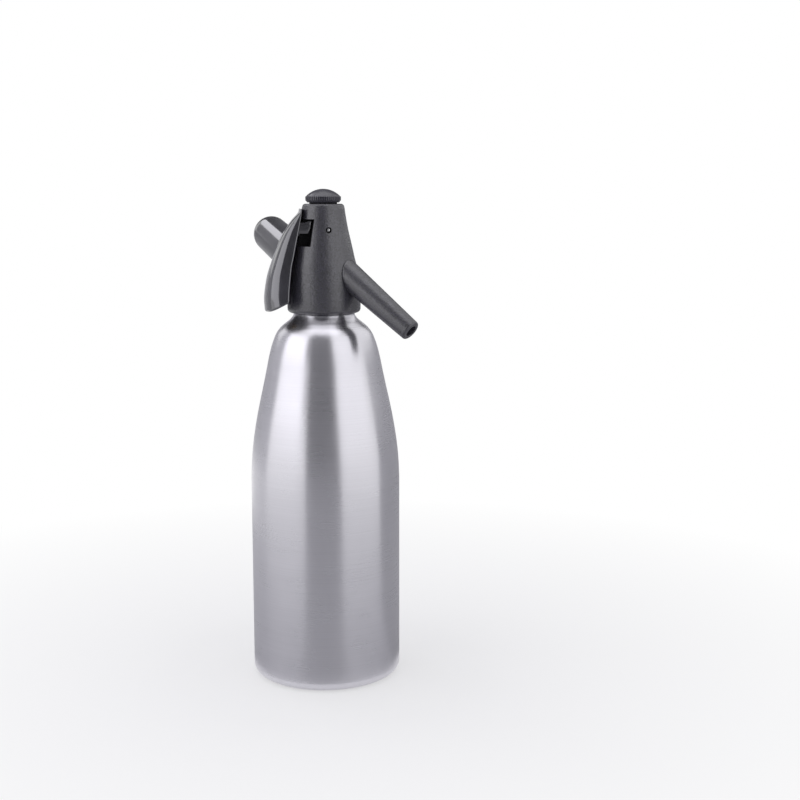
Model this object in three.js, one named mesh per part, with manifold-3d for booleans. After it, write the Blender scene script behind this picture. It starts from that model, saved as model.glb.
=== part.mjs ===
// Soda siphon: an aluminium bottle with a moulded screw-on head, a squeeze lever, a spout,
// a holder for the gas charger and a knurled cap over the valve.
// Millimetres, +Z up. The bottle stands on the origin. The lever points to -X, turned a little to -Y.
import * as THREE from 'three';
import { mergeVertices } from 'three/addons/utils/BufferGeometryUtils.js';
import Module from 'manifold-3d';

const wasm = await Module();
wasm.setup();

// Bottle
const bottleRadius = 49;
const bottleNeckTopHeight = 257;
const bottleWall = 1.4;
const baseThickness = 2;
const baseCornerRadius = 8;
const neckRadius = 17.6;
const neckRootStep = 0.8;
const neckWall = 3;
const bodyStraightTop = 130;
// Shoulder outline from the straight body up to the neck root: share of the rise, share of the radius
const shoulderShares = [
  [0, 1], [0.15, 0.985], [0.29, 0.95], [0.47, 0.875], [0.675, 0.782], [0.82, 0.702],
  [0.893, 0.639], [0.94, 0.57], [0.975, 0.48],
];

// Tubes and seal in the bottle's neck
const fitGap = 0.3;
const sealGap = 0.25;
const measuringTubeGap = 1;
const measuringTubeWall = 1.1;
const measuringTubeLength = 74;
const measuringTubeFlange = 1;
const gasketThickness = 1.2;
const riserRadius = 3.5;
const riserWall = 1.2;
const riserFootGap = 9;

// Head housing
const headAbovePin = 16.5;
const collarWall = 5.9;
const collarBand = 8.2;
const collarCorner = 2.8;
const collarGap = 1.9;
const headTopRadius = 13.6;
const headTopCorner = 1.5;
// Bow of the tapered side: share of the rise above the collar band, share of the taper used up
const taperShares = [[0.2, 0.12], [0.42, 0.355], [0.72, 0.715]];
const topBoreGap = 0.6;

// Lever and its pin
const leverTurn = THREE.MathUtils.degToRad(6);
const pinForward = 1.7;
const pinHeight = 53.5;
const pinRadius = 1.55;
const pinHoleRadius = 1.9;
const pinRecess = 1.7;
const squeezeAngle = THREE.MathUtils.degToRad(8.5);
const notchHubGap = 2.4;
const notchFloorGap = 8.1;
const notchTopDepth = 7.05;
const notchBottomDepth = 10;
const leverTopOut = 13.3;
const leverCrest = 6.5;
const leverReach = 25.5;
const leverDrop = 64.6;
const leverWall = 2.2;
const leverTopHalfWidth = 8;
const leverTailHalfWidth = 20.6;
const leverEdgeDrop = 58.2;
const leverStandOff = 0.35;
const leverRunClearance = 0.7;
const leverBoxiness = 2.6;
const leverHollowStartShare = 0.22;
const leverStations = 16;
const leverHollowStations = 14;
const leverSides = 16;
// Outer back of the lever: share of its reach, share of its drop
const leverBackShares = [
  [0, 0], [0.14, 0.055], [0.29, 0.118], [0.49, 0.231], [0.67, 0.383],
  [0.88, 0.612], [0.96, 0.749], [1, 0.885], [0.985, 1],
];
const blockHalfWidth = 9;
const blockDrop = 2.4;
const blockEndClearance = 0.6;
const blockEndGap = 1.65;
const blockShoulderOut = 13;
const blockShoulderDrop = 1.9;
const bridgeThickness = 3.5;
const coreHalfWidth = 6.1;
const tongueHalfWidth = 4;
const hubRadius = 4.4;
const noseOut = 3;
const noseRadius = 2;
const noseDrop = 0.4;
const leverOpenEndShare = 0.05;
const ribHalfWidth = 1.5;
const ribDrop = 6;
const ribBackShare = 0.55;
const ribTopShare = 0.27;

// Top cap
const capRadius = 11.55;
const capFootRadius = 9.8;
const capChamfer = 1.1;
const capBand = 2.8;
const capDomeHeight = 4.8;
const capDomeInset = 0.45;
const capKnurls = 36;
const capKnurlDepth = 0.45;
const capShankGap = 4.7;
const capSealThickness = 0.8;
const capSealOuterRadius = 9;

// Valve
const valveTubeGap = 1;
const chamberLength = 18;
const chamberRadius = 5.2;
const seatBelowSpout = 10.2;
const seatHoleRadius = 2.7;
const seatThickness = 3;
const glandBoreRadius = 4.3;
const portRadius = 2.4;
const stemRadius = 1.5;
const washerRadius = 4.2;
const washerThickness = 2;
const stemFlangeThickness = 1.3;
const glandNutRimRadius = 5.6;
const glandNutRim = 1.2;
const glandNutShank = 3.25;
const stemSealHeight = 1.8;
const buttonRadius = 4.4;
const buttonHeight = 2.4;
const buttonWall = 0.9;
const buttonTravel = 2.5;
const glandClearance = 5.2;
const springWire = 0.4;
const springCoilRadius = 3.3;
const springTurns = 5;
const bodySealRadius = 0.7;
const bodySealDrop = 6.5;

// Adapter that joins the riser tube to the valve body
const adapterThreadLength = 6.5;
const adapterFlangeRadius = 7.5;
const adapterFlange = 2.4;
const adapterBarbLength = 9;
const adapterBarbBore = 1.3;

// Spout
const spoutAzimuth = THREE.MathUtils.degToRad(-36);
const spoutFall = THREE.MathUtils.degToRad(35.3);
const spoutLedgeGap = 1.8;
const spoutReach = 82.3;
const spoutRootRadius = 9.1;
const spoutTipRadius = 6.7;
const spoutTipRound = 1;
const spoutBore = 2.4;
const spoutMouthRadius = 3.7;
const spoutMouthDepth = 5;
const spoutShankRadius = 5.5;
const spoutShankLength = 12.05;
const spoutSealSeat = 0.4;
const spoutSealThickness = 1.4;

// Charger inlet and holder
const inletAzimuth = THREE.MathUtils.degToRad(118);
const inletRise = THREE.MathUtils.degToRad(20.4);
const inletLedgeGap = 2.2;
const inletPocketDepth = 1.2;
const inletNeckRadius = 7.5;
const inletShankRadius = 6;
const inletShankGap = 4.1;
const inletBossRadius = 10.2;
const inletNeckLength = 5.4;
const inletBossLength = 8;
const inletBoreRadius = 4.6;
const inletBoreDepth = 11.8;
const chargerSealThickness = 1.2;
const piercingPinRadius = 1.3;
const piercingPinProud = 2.4;
const piercingPinPoint = 1.6;
const checkDiscRadius = 2.9;
const checkDiscThickness = 0.9;
const holderMouthRadius = 13.2;
const holderEndRadius = 12.4;
const holderLength = 58;
const holderWall = 2.2;
const chargerRadius = 9.4;
const gasPassageRadius = 1.1;
const gasPassageWall = 0.7;

// Pressure relief valve
const reliefAzimuth = THREE.MathUtils.degToRad(48);
const reliefLedgeGap = 5.8;
const reliefSpringLength = 3.1;
const reliefPoppetGap = 0.5;
const reliefPoppetThickness = 1.3;
const reliefPlugRadius = 3;
const reliefPlugLength = 3;
const reliefPlugProud = 0.4;
const reliefSpringRadius = 1.9;
const reliefSpringWire = 0.27;
const reliefVentRadius = 0.8;
const reliefSpringTurns = 2;

// Steps around and along
const roundSteps = 40;
const smallRoundSteps = 24;
const tinyRoundSteps = 16;
const overrun = 1;
const curlSteps = 8;
const wireSides = 5;

// Places worked out from the sizes
// Radii, from the neck inwards and outwards
const neckBore = neckRadius - neckWall;
const neckRootRadius = neckRadius + neckRootStep;
const collarRadius = neckRadius + fitGap + collarWall;
const measuringTubeRadius = neckBore - measuringTubeGap;
const valveBodyRadius = measuringTubeRadius - measuringTubeWall - valveTubeGap;
const topBoreRadius = glandNutRimRadius + topBoreGap;
const gasPassageOut = valveBodyRadius + fitGap + gasPassageWall + gasPassageRadius;
const reliefBore = reliefPlugRadius + fitGap;
const reliefPoppetRadius = reliefBore - reliefPoppetGap;
// Heights, from the neck's rim up the valve to the pin, and from the pin down to the collar
const rimTop = bottleNeckTopHeight + measuringTubeFlange;
const ledge = rimTop + gasketThickness;
const spoutCross = ledge + spoutLedgeGap + neckRadius * Math.tan(spoutFall) + spoutShankRadius / Math.cos(spoutFall);
const seat = spoutCross - seatBelowSpout;
const valveBodyBottom = seat - chamberLength;
const stemSealBottom = seat + seatThickness + glandClearance;
const glandNutBottom = stemSealBottom + stemSealHeight + sealGap;
const valveBodyTop = glandNutBottom + glandNutShank;
const glandNutTop = valveBodyTop + fitGap + glandNutRim;
const buttonTop = glandNutTop + buttonTravel + buttonHeight;
const pinLevel = buttonTop + fitGap + noseDrop + hubRadius;
const collarBottom = pinLevel - pinHeight;
const neckRoot = collarBottom - collarGap;
const headTop = pinLevel + headAbovePin;
const notchTop = pinLevel + hubRadius + notchHubGap;
const notchBottom = pinLevel - blockDrop - notchFloorGap;
// Places along the inlet's and the spout's own axes
const inletShankStart = valveBodyRadius + inletShankGap;
const inletPocketStart = collarRadius - inletPocketDepth;
const inletBossStart = inletPocketStart + inletNeckLength;
const inletBossEnd = inletBossStart + inletBossLength;
const inletBoreEnd = inletBossEnd - inletBoreDepth;
const holderEnd = inletBossEnd + holderLength;
const inletCross = ledge + inletLedgeGap + inletShankRadius * Math.cos(inletRise)
  - inletShankStart * Math.sin(inletRise);
const spoutSealStart = (valveBodyRadius + spoutSealSeat + (spoutShankRadius - sealGap) * Math.sin(spoutFall))
  / Math.cos(spoutFall);
const spoutShankStart = spoutSealStart + spoutSealThickness + sealGap;
const reliefMiddle = ledge + reliefLedgeGap;
// Frames
const pin = new THREE.Vector3(pinForward, 0, pinLevel);
const leverFrame = new THREE.Matrix4().makeRotationZ(leverTurn);
const spoutFrame = frameAlong(new THREE.Vector3(0, 0, spoutCross), directionOf(spoutAzimuth, -spoutFall));
const inletFrame = frameAlong(new THREE.Vector3(0, 0, inletCross), directionOf(inletAzimuth, inletRise));
const reliefFrame = frameAlong(new THREE.Vector3(0, 0, reliefMiddle), directionOf(reliefAzimuth, 0));

// Finishes
const finishes = {
  aluminium: { color: 0xb9b7c0, roughness: 0.35, metalness: 1 },
  charcoal: { color: 0x3c3c42, roughness: 0.6, metalness: 0 },
  gloss: { color: 0x242429, roughness: 0.12, metalness: 0 },
  steel: { color: 0xc9c9cc, roughness: 0.3, metalness: 1 },
  brass: { color: 0xb59a5a, roughness: 0.35, metalness: 1 },
  rubber: { color: 0x1c1c1e, roughness: 0.8, metalness: 0 },
  clear: { color: 0xd8dcdc, roughness: 0.4, metalness: 0 },
  white: { color: 0xdedede, roughness: 0.5, metalness: 0 },
};

// Unit vector at an azimuth from +X and an elevation above the horizontal
function directionOf(azimuth, elevation) {
  const flat = Math.cos(elevation);
  return new THREE.Vector3(flat * Math.cos(azimuth), flat * Math.sin(azimuth), Math.sin(elevation));
}

// Matrix that puts a local +Z axis along a direction from a point
function frameAlong(point, direction) {
  const turn = new THREE.Quaternion().setFromUnitVectors(new THREE.Vector3(0, 0, 1), direction);
  return new THREE.Matrix4().compose(point, turn, new THREE.Vector3(1, 1, 1));
}

// Geometry with shared corners merged and empty triangles left out
function weld(geometry) {
  const bare = geometry.clone();
  bare.deleteAttribute('normal');
  bare.deleteAttribute('uv');
  const merged = mergeVertices(bare);
  const corners = merged.index.array;
  const kept = [];
  for (let i = 0; i < corners.length; i += 3) {
    const [a, b, c] = [corners[i], corners[i + 1], corners[i + 2]];
    if (a !== b && b !== c && c !== a) kept.push(a, b, c);
  }
  merged.setIndex(kept);
  return merged;
}

// Welded geometry as a solid that can be cut and joined
function solidOf(geometry) {
  const welded = weld(geometry);
  const vertProperties = Float32Array.from(welded.attributes.position.array);
  const triVerts = Uint32Array.from(welded.index.array);
  return new wasm.Manifold(new wasm.Mesh({ numProp: 3, vertProperties, triVerts }));
}

// Solid back to a geometry
function geometryOf(solid) {
  const mesh = solid.getMesh();
  const geometry = new THREE.BufferGeometry();
  geometry.setAttribute('position', new THREE.BufferAttribute(mesh.vertProperties, 3));
  geometry.setIndex(new THREE.BufferAttribute(mesh.triVerts, 1));
  return geometry;
}

// Turned piece: profile points [radius, height] run up the outside and down the inside
function turned(points, steps = smallRoundSteps) {
  const outline = points.map(([radius, height]) => new THREE.Vector2(radius, height));
  return new THREE.LatheGeometry(outline, steps).rotateX(Math.PI / 2);
}

function disc(radius, bottom, top, steps = smallRoundSteps) {
  return turned([[0, bottom], [radius, bottom], [radius, top], [0, top]], steps);
}

function ring(inner, outer, bottom, top, steps = smallRoundSteps) {
  return turned([[inner, bottom], [outer, bottom], [outer, top], [inner, top], [inner, bottom]], steps);
}

// Plate with a flat outline [out towards -X, height], from one Y to another
function plate(points, from, to) {
  const outline = new THREE.Shape(points.map(([out, height]) => new THREE.Vector2(-out, height)));
  const geometry = new THREE.ExtrudeGeometry(outline, { depth: to - from, bevelEnabled: false });
  return geometry.rotateX(Math.PI / 2).translate(0, to, 0);
}

// Plate centred on the XZ plane
function slab(points, halfWidth) {
  return plate(points, -halfWidth, halfWidth);
}

// The same plate on both sides of the XZ plane
function platePair(points, inner, outer) {
  return [plate(points, -outer, -inner), plate(points, inner, outer)];
}

// Cylinder along Y through a point of the XZ plane
function crossBar(x, z, radius, halfWidth, steps = smallRoundSteps) {
  const bar = disc(radius, -halfWidth, halfWidth, steps).rotateX(Math.PI / 2);
  return bar.translate(x, 0, z);
}

// Wire coil from one height to another; every curl has the same steps, and flat discs close its ends
function coil(coilRadius, wireRadius, bottom, top, turns) {
  const steps = turns * curlSteps;
  const rise = (top - bottom - 2 * wireRadius) / steps;
  const positions = [];
  for (let i = 0; i <= steps; i += 1) {
    const angle = (2 * Math.PI * i) / curlSteps;
    const height = bottom + wireRadius + rise * i;
    for (let j = 0; j < wireSides; j += 1) {
      const side = (2 * Math.PI * j) / wireSides;
      const out = coilRadius + wireRadius * Math.cos(side);
      positions.push(out * Math.cos(angle), out * Math.sin(angle), height + wireRadius * Math.sin(side));
    }
  }
  const index = [];
  for (let i = 0; i < steps; i += 1) {
    for (let j = 0; j < wireSides; j += 1) {
      const a = i * wireSides + j;
      const b = i * wireSides + ((j + 1) % wireSides);
      index.push(a, a + wireSides, b, b, a + wireSides, b + wireSides);
    }
  }
  const last = steps * wireSides;
  for (let j = 1; j < wireSides - 1; j += 1) {
    index.push(0, j, j + 1, last, last + j + 1, last + j);
  }
  const geometry = new THREE.BufferGeometry();
  geometry.setAttribute('position', new THREE.Float32BufferAttribute(positions, 3));
  geometry.setIndex(index);
  console.log('coil gap', leastCoilGap(positions).toFixed(2));
  return geometry;
}

// Least gap between wire points a curl or more apart
function leastCoilGap(positions) {
  const perCurl = curlSteps * wireSides;
  const count = positions.length / 3;
  let least = Infinity;
  for (let i = 0; i < count; i += 1) {
    const step = Math.floor(i / wireSides);
    for (let j = (step + curlSteps - 2) * wireSides; j < Math.min(count, i + 2 * perCurl); j += 1) {
      const dx = positions[3 * i] - positions[3 * j];
      const dy = positions[3 * i + 1] - positions[3 * j + 1];
      const dz = positions[3 * i + 2] - positions[3 * j + 2];
      least = Math.min(least, Math.hypot(dx, dy, dz));
    }
  }
  return least;
}

// Points of a quarter round in a profile, from one angle to another around a centre
function arc(centreRadius, centreHeight, radius, from, to, count) {
  const points = [];
  for (let i = 0; i <= count; i += 1) {
    const angle = from + ((to - from) * i) / count;
    points.push([centreRadius + radius * Math.cos(angle), centreHeight + radius * Math.sin(angle)]);
  }
  return points;
}

const siphon = new THREE.Group();

function add(name, geometry, finish, parent = siphon) {
  const mesh = new THREE.Mesh(geometry, new THREE.MeshStandardMaterial(finishes[finish]));
  mesh.name = name;
  parent.add(mesh);
}

// Bottle: the straight body with its flat base and rounded foot, and the shoulder with the neck on top of it
function makeBottle() {
  const floorRadius = bottleRadius - baseCornerRadius;
  const inside = bottleRadius - bottleWall;
  return turned([
    [0, 0], ...arc(floorRadius, baseCornerRadius, baseCornerRadius, -Math.PI / 2, 0, 4),
    [bottleRadius, bodyStraightTop], [inside, bodyStraightTop], [inside, baseCornerRadius],
    [floorRadius, baseThickness], [0, baseThickness],
  ], roundSteps);
}

function makeBottleShoulder() {
  const rise = neckRoot - bodyStraightTop;
  const shoulder = shoulderShares.map(([up, out]) => [bottleRadius * out, bodyStraightTop + rise * up]);
  const outside = [...shoulder, [neckRootRadius, neckRoot]];
  const inner = outside.map(([radius, height]) => [radius - bottleWall, height]).reverse();
  const belowNeck = inner.filter(([radius]) => radius > neckBore + bottleWall);
  return turned([
    ...outside,
    [neckRadius, collarBottom], [neckRadius, bottleNeckTopHeight], [neckBore, bottleNeckTopHeight],
    [neckBore, neckRoot - bottleWall], ...belowNeck, outside[0],
  ], roundSteps);
}

add('bottle', makeBottle(), 'aluminium');
add('bottle_shoulder', makeBottleShoulder(), 'aluminium');

// Measuring tube: hangs from the neck's rim and sets how far the bottle is filled
function makeMeasuringTube() {
  const bottom = rimTop - measuringTubeLength;
  const inner = measuringTubeRadius - measuringTubeWall;
  return turned([
    [inner, bottom], [measuringTubeRadius, bottom], [measuringTubeRadius, bottleNeckTopHeight],
    [neckRadius, bottleNeckTopHeight], [neckRadius, rimTop], [inner, rimTop], [inner, bottom],
  ], roundSteps);
}

add('measuring_tube', makeMeasuringTube(), 'clear');

// Head gasket: flat ring between the tube's flange and the ledge in the head
add('head_gasket', ring(neckBore, neckRadius, rimTop, ledge, roundSteps), 'rubber');

// Head housing
const taperBottom = collarBottom + collarBand;
const taperTop = headTop - headTopCorner;

function headSide(grow = 0) {
  const taper = collarRadius - headTopRadius;
  const rise = taperTop - taperBottom;
  const bow = taperShares.map(([up, used]) => [collarRadius - taper * used + grow, taperBottom + rise * up]);
  return [[collarRadius + grow, taperBottom], ...bow, [headTopRadius + grow, taperTop]];
}

// Smooth outside radius of the head at a height
function headRadiusAt(height) {
  const side = headSide();
  const upper = side.findIndex(([, level]) => level >= height);
  if (upper < 0) return headTopRadius;
  if (upper === 0) return collarRadius;
  const [lowRadius, lowLevel] = side[upper - 1];
  const [highRadius, highLevel] = side[upper];
  return lowRadius + ((highRadius - lowRadius) * (height - lowLevel)) / (highLevel - lowLevel);
}

function headOutside() {
  const foot = arc(collarRadius - collarCorner, collarBottom + collarCorner, collarCorner, -Math.PI / 2, 0, 3);
  const crown = arc(headTopRadius - headTopCorner, taperTop, headTopCorner, 0, Math.PI / 2, 2);
  return turned([[0, collarBottom], ...foot, ...headSide(), ...crown, [0, headTop]], roundSteps);
}

// Head with a clearance all round, for cutting what lies against it
function headSpace(clearance) {
  return turned([
    [0, collarBottom - overrun], [collarRadius + clearance, collarBottom - overrun],
    ...headSide(clearance), [headTopRadius + clearance, headTop + overrun], [0, headTop + overrun],
  ], roundSteps);
}

const reliefSurface = headRadiusAt(reliefMiddle) + reliefPlugProud;
const reliefPlugStart = reliefSurface - reliefPlugLength;
const reliefSpringStart = reliefPlugStart - reliefSpringLength;
const reliefPoppetStart = reliefSpringStart - reliefPoppetThickness;
const reliefSeatOut = reliefPoppetStart - fitGap;
const slotHalfWidth = tongueHalfWidth + 2 * fitGap;
const slotFront = pinForward + hubRadius + leverRunClearance;

function makeHead() {
  const wide = 2 * collarRadius;
  const slotBottom = pin.z - hubRadius - noseDrop - leverRunClearance - 2 * noseRadius;
  const notches = platePair([[notchTopDepth, notchTop], [notchBottomDepth, notchBottom], [wide, notchBottom],
    [wide, notchTop]], coreHalfWidth, collarRadius);
  const cuts = [
    disc(neckRadius + fitGap, collarBottom - overrun, ledge, roundSteps),
    disc(valveBodyRadius + fitGap, ledge - overrun, valveBodyTop + fitGap, roundSteps),
    disc(topBoreRadius, valveBodyTop, headTop + overrun),
    ...notches.map((notch) => notch.applyMatrix4(leverFrame)),
    slab([[-slotFront, slotBottom], [-slotFront, notchTop], [wide, notchTop], [wide, slotBottom]],
      slotHalfWidth).applyMatrix4(leverFrame),
    crossBar(pin.x, pin.z, pinHoleRadius, wide, tinyRoundSteps).applyMatrix4(leverFrame),
    disc(spoutShankRadius + fitGap, valveBodyRadius, spoutReach).applyMatrix4(spoutFrame),
    disc(inletShankRadius + fitGap, inletShankStart - fitGap, inletPocketStart + overrun).applyMatrix4(inletFrame),
    disc(inletNeckRadius + fitGap, inletPocketStart, holderEnd).applyMatrix4(inletFrame),
    disc(checkDiscRadius + fitGap, inletShankStart - checkDiscThickness - 2 * fitGap, inletShankStart,
      tinyRoundSteps).applyMatrix4(inletFrame),
    disc(reliefBore, reliefSeatOut, wide, tinyRoundSteps).applyMatrix4(reliefFrame),
    disc(gasPassageRadius, gasPassageOut, reliefSeatOut + overrun, tinyRoundSteps).applyMatrix4(reliefFrame),
    gasPassage(inletAzimuth, inletCross + gasPassageOut * Math.tan(inletRise)),
    gasPassage(reliefAzimuth, reliefMiddle),
  ];
  let head = solidOf(headOutside());
  for (const cut of cuts) head = head.subtract(solidOf(cut));
  return geometryOf(head);
}

// Upright gas hole from the ledge over the neck to a height in the head
function gasPassage(azimuth, height) {
  const x = gasPassageOut * Math.cos(azimuth);
  const y = gasPassageOut * Math.sin(azimuth);
  const hole = disc(gasPassageRadius, ledge - overrun, height, tinyRoundSteps);
  return hole.translate(x, y, 0);
}

add('head_housing', makeHead(), 'charcoal');

// Lever: a half-round trough that narrows to the head's top, with a cheek in each notch and a tongue between
function leverStation(share, backCurve, trim) {
  const back = backCurve.getPoint(share);
  const top = notchTop + leverCrest;
  const backOut = leverTopOut + leverReach * back.x;
  const backHeight = top - leverDrop * back.y;
  const edgeHeight = top - leverEdgeDrop * back.y;
  const edgeOut = headRadiusAt(edgeHeight) + leverStandOff;
  const halfWidth = leverTopHalfWidth + (leverTailHalfWidth - leverTopHalfWidth) * back.y - trim;
  const depth = Math.max(backOut - edgeOut, trim + overrun) - trim;
  return { edgeOut, edgeHeight, halfWidth, depth, lean: backHeight - edgeHeight };
}

// Solid lofted through the lever's stations; a trim makes it smaller all round, for the hollow
function leverForm(trim, fromShare, toShare, stations, open) {
  const curve = new THREE.SplineCurve(leverBackShares.map(([x, y]) => new THREE.Vector2(x, y)));
  const positions = [];
  for (let i = 0; i <= stations; i += 1) {
    const share = fromShare + ((toShare - fromShare) * i) / stations;
    const { edgeOut, edgeHeight, halfWidth, depth, lean } = leverStation(share, curve, trim);
    for (let j = 0; j <= leverSides; j += 1) {
      const angle = -Math.PI / 2 + (Math.PI * j) / leverSides;
      const deep = Math.abs(Math.cos(angle)) ** (2 / leverBoxiness);
      const wide = Math.sign(Math.sin(angle)) * Math.abs(Math.sin(angle)) ** (2 / leverBoxiness);
      const out = j === 0 || j === leverSides ? edgeOut - open : edgeOut + depth * deep;
      positions.push(-out, halfWidth * wide, edgeHeight + lean * deep);
    }
  }
  const row = leverSides + 1;
  const index = [];
  for (let i = 0; i < stations; i += 1) {
    for (let j = 0; j < row; j += 1) {
      const a = i * row + j;
      const b = i * row + ((j + 1) % row);
      index.push(a, b, a + row, b, b + row, a + row);
    }
  }
  const last = stations * row;
  for (let j = 1; j < row - 1; j += 1) {
    index.push(0, j + 1, j, last, last + j, last + j + 1);
  }
  const geometry = new THREE.BufferGeometry();
  geometry.setAttribute('position', new THREE.Float32BufferAttribute(positions, 3));
  geometry.setIndex(index);
  return geometry;
}

// The head as the lever sees it once it is squeezed by an angle
function headSpaceSqueezed(angle) {
  const space = headSpace(leverRunClearance);
  return space.translate(-pin.x, 0, -pin.z).rotateY(angle).translate(pin.x, 0, pin.z);
}

// Bridge behind the head's surface that carries the cheeks and the tongue
const blockBottom = pinLevel - blockDrop;
const blockTop = notchTop - fitGap;
const blockShoulder = blockTop - blockShoulderDrop;
const blockTopEndOut = notchTopDepth + blockEndGap;
const bridgeOut = headRadiusAt(blockBottom) + bridgeThickness;

function leverBridge() {
  return solidOf(slab([[blockTopEndOut, blockBottom], [bridgeOut, blockBottom], [bridgeOut, blockShoulder],
    [blockTopEndOut, blockShoulder]], blockHalfWidth));
}

// Cheeks in the notches, and the tongue that runs over the valve stem to the pin
function leverArm() {
  const endLean = (notchBottomDepth - notchTopDepth) / (notchTop - notchBottom);
  const cheekFoot = blockTopEndOut + (blockTop - blockBottom) * endLean - blockEndClearance;
  const cheeks = platePair([[cheekFoot, blockBottom], [bridgeOut, blockBottom], [bridgeOut, blockShoulder],
    [blockShoulderOut, blockShoulder], [blockTopEndOut, blockTop]], coreHalfWidth + fitGap, blockHalfWidth);
  const tongueTop = pin.z + hubRadius - noseDrop;
  const tongueBottom = pin.z - hubRadius + noseDrop;
  const tongue = slab([[-pinForward, tongueBottom], [bridgeOut, tongueBottom], [bridgeOut, tongueTop],
    [-pinForward, tongueTop]], tongueHalfWidth);
  const hub = crossBar(pin.x, pin.z, hubRadius, tongueHalfWidth);
  const noseCentre = pin.z - hubRadius - noseDrop + noseRadius;
  const nose = crossBar(-noseOut, noseCentre, noseRadius, tongueHalfWidth, tinyRoundSteps);
  const hole = crossBar(pin.x, pin.z, pinHoleRadius, tongueHalfWidth + overrun, tinyRoundSteps);
  let arm = solidOf(tongue).add(solidOf(hub)).add(solidOf(nose)).subtract(solidOf(hole));
  for (const cheek of cheeks) arm = arm.add(solidOf(cheek));
  return arm;
}

// Rib that ties the bridge to the back of the trough
function leverRib() {
  const start = bridgeOut - overrun;
  const backOut = leverTopOut + leverReach * ribBackShare;
  const topOut = start + (backOut - start) * ribTopShare;
  return solidOf(slab([[start, blockBottom + overrun], [start, blockBottom - ribDrop],
    [backOut, blockBottom - ribDrop], [topOut, blockBottom + overrun]], ribHalfWidth));
}

function makeLever() {
  const shell = solidOf(leverForm(0, 0, 1, leverStations, 0));
  const openEnd = 1 + leverOpenEndShare;
  const hollow = solidOf(leverForm(leverWall, leverHollowStartShare, openEnd, leverHollowStations, overrun));
  let lever = shell.subtract(hollow).add(leverRib()).add(leverBridge());
  for (const share of [0, 0.5, 1]) lever = lever.subtract(solidOf(headSpaceSqueezed(squeezeAngle * share)));
  return geometryOf(lever.add(leverArm()));
}

const leverGroup = new THREE.Group();
leverGroup.applyMatrix4(leverFrame);
siphon.add(leverGroup);
add('lever', makeLever(), 'gloss', leverGroup);

// Pivot pin: set back a little from the head's surface at both ends
function makePin() {
  const halfWidth = Math.sqrt(headRadiusAt(pin.z) ** 2 - pinForward ** 2) - pinRecess;
  return crossBar(pin.x, pin.z, pinRadius, halfWidth, tinyRoundSteps);
}

add('pivot_pin', makePin(), 'steel', leverGroup);

// Top cap: knurled rim, low dome and a shank that closes the bore over the valve
function makeTopCap() {
  const foot = headTop + capSealThickness;
  const rim = foot + capChamfer;
  const domeFoot = rim + capBand;
  const domeRadius = capRadius - capDomeInset;
  const ball = (domeRadius ** 2 + capDomeHeight ** 2) / (2 * capDomeHeight);
  const half = Math.asin(domeRadius / ball);
  const dome = arc(0, domeFoot + capDomeHeight - ball, ball, Math.PI / 2 - half, Math.PI / 2, 5);
  const shankBottom = pinLevel + hubRadius + capShankGap;
  const rough = capRadius - capKnurlDepth;
  const body = turned([
    [0, shankBottom], [topBoreRadius - fitGap, shankBottom], [topBoreRadius - fitGap, foot],
    [capFootRadius, foot], [rough, rim], [rough, domeFoot], ...dome,
  ]);
  const teeth = [];
  for (let i = 0; i < 2 * capKnurls; i += 1) {
    const angle = (Math.PI * i) / capKnurls;
    const radius = i % 2 === 0 ? capRadius : rough;
    teeth.push(new THREE.Vector2(radius * Math.cos(angle), radius * Math.sin(angle)));
  }
  const knurl = new THREE.ExtrudeGeometry(new THREE.Shape(teeth), { depth: capBand, bevelEnabled: false });
  return geometryOf(solidOf(body).add(solidOf(knurl.translate(0, 0, rim))));
}

add('top_cap', makeTopCap(), 'charcoal');
add('cap_seal', ring(topBoreRadius, capSealOuterRadius, headTop, headTop + capSealThickness), 'rubber');

// Valve body: screwed up into the head from below, with the seat, gland bore and side port
const bodySealMiddle = seat - bodySealDrop;

function makeValveBody() {
  const upperBore = seat + seatThickness;
  const body = turned([
    [chamberRadius, valveBodyBottom], [valveBodyRadius, valveBodyBottom], [valveBodyRadius, valveBodyTop],
    [glandBoreRadius, valveBodyTop], [glandBoreRadius, upperBore], [seatHoleRadius, upperBore],
    [seatHoleRadius, seat], [chamberRadius, seat], [chamberRadius, valveBodyBottom],
  ]);
  const channel = ring(valveBodyRadius - bodySealRadius, valveBodyRadius + overrun,
    bodySealMiddle - bodySealRadius, bodySealMiddle + bodySealRadius);
  const port = disc(portRadius, 0, spoutShankStart, tinyRoundSteps).applyMatrix4(spoutFrame);
  return geometryOf(solidOf(body).subtract(solidOf(channel)).subtract(solidOf(port)));
}

add('valve_body', makeValveBody(), 'brass');

// Ring seal in the valve body's groove
const bodySealHalf = bodySealRadius - sealGap;
add('body_seal', ring(valveBodyRadius - bodySealHalf, valveBodyRadius, bodySealMiddle - bodySealHalf,
  bodySealMiddle + bodySealHalf), 'rubber');

// Valve stem: a rod with a flange that holds the washer up to the seat
const washerTop = seat - fitGap;
const washerBottom = washerTop - washerThickness;
const stemBottom = washerBottom - stemFlangeThickness;

function makeStem() {
  const tip = springCoilRadius - 2 * springWire - fitGap;
  return turned([
    [0, stemBottom - stemFlangeThickness], [tip, stemBottom - stemFlangeThickness], [tip, stemBottom],
    [washerRadius, stemBottom], [washerRadius, washerBottom - fitGap], [stemRadius, washerBottom - fitGap],
    [stemRadius, buttonTop - fitGap - buttonWall], [0, buttonTop - fitGap - buttonWall],
  ]);
}

add('valve_stem', makeStem(), 'steel');
add('valve_washer', ring(stemRadius + sealGap, washerRadius, washerBottom, washerTop), 'rubber');

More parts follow.
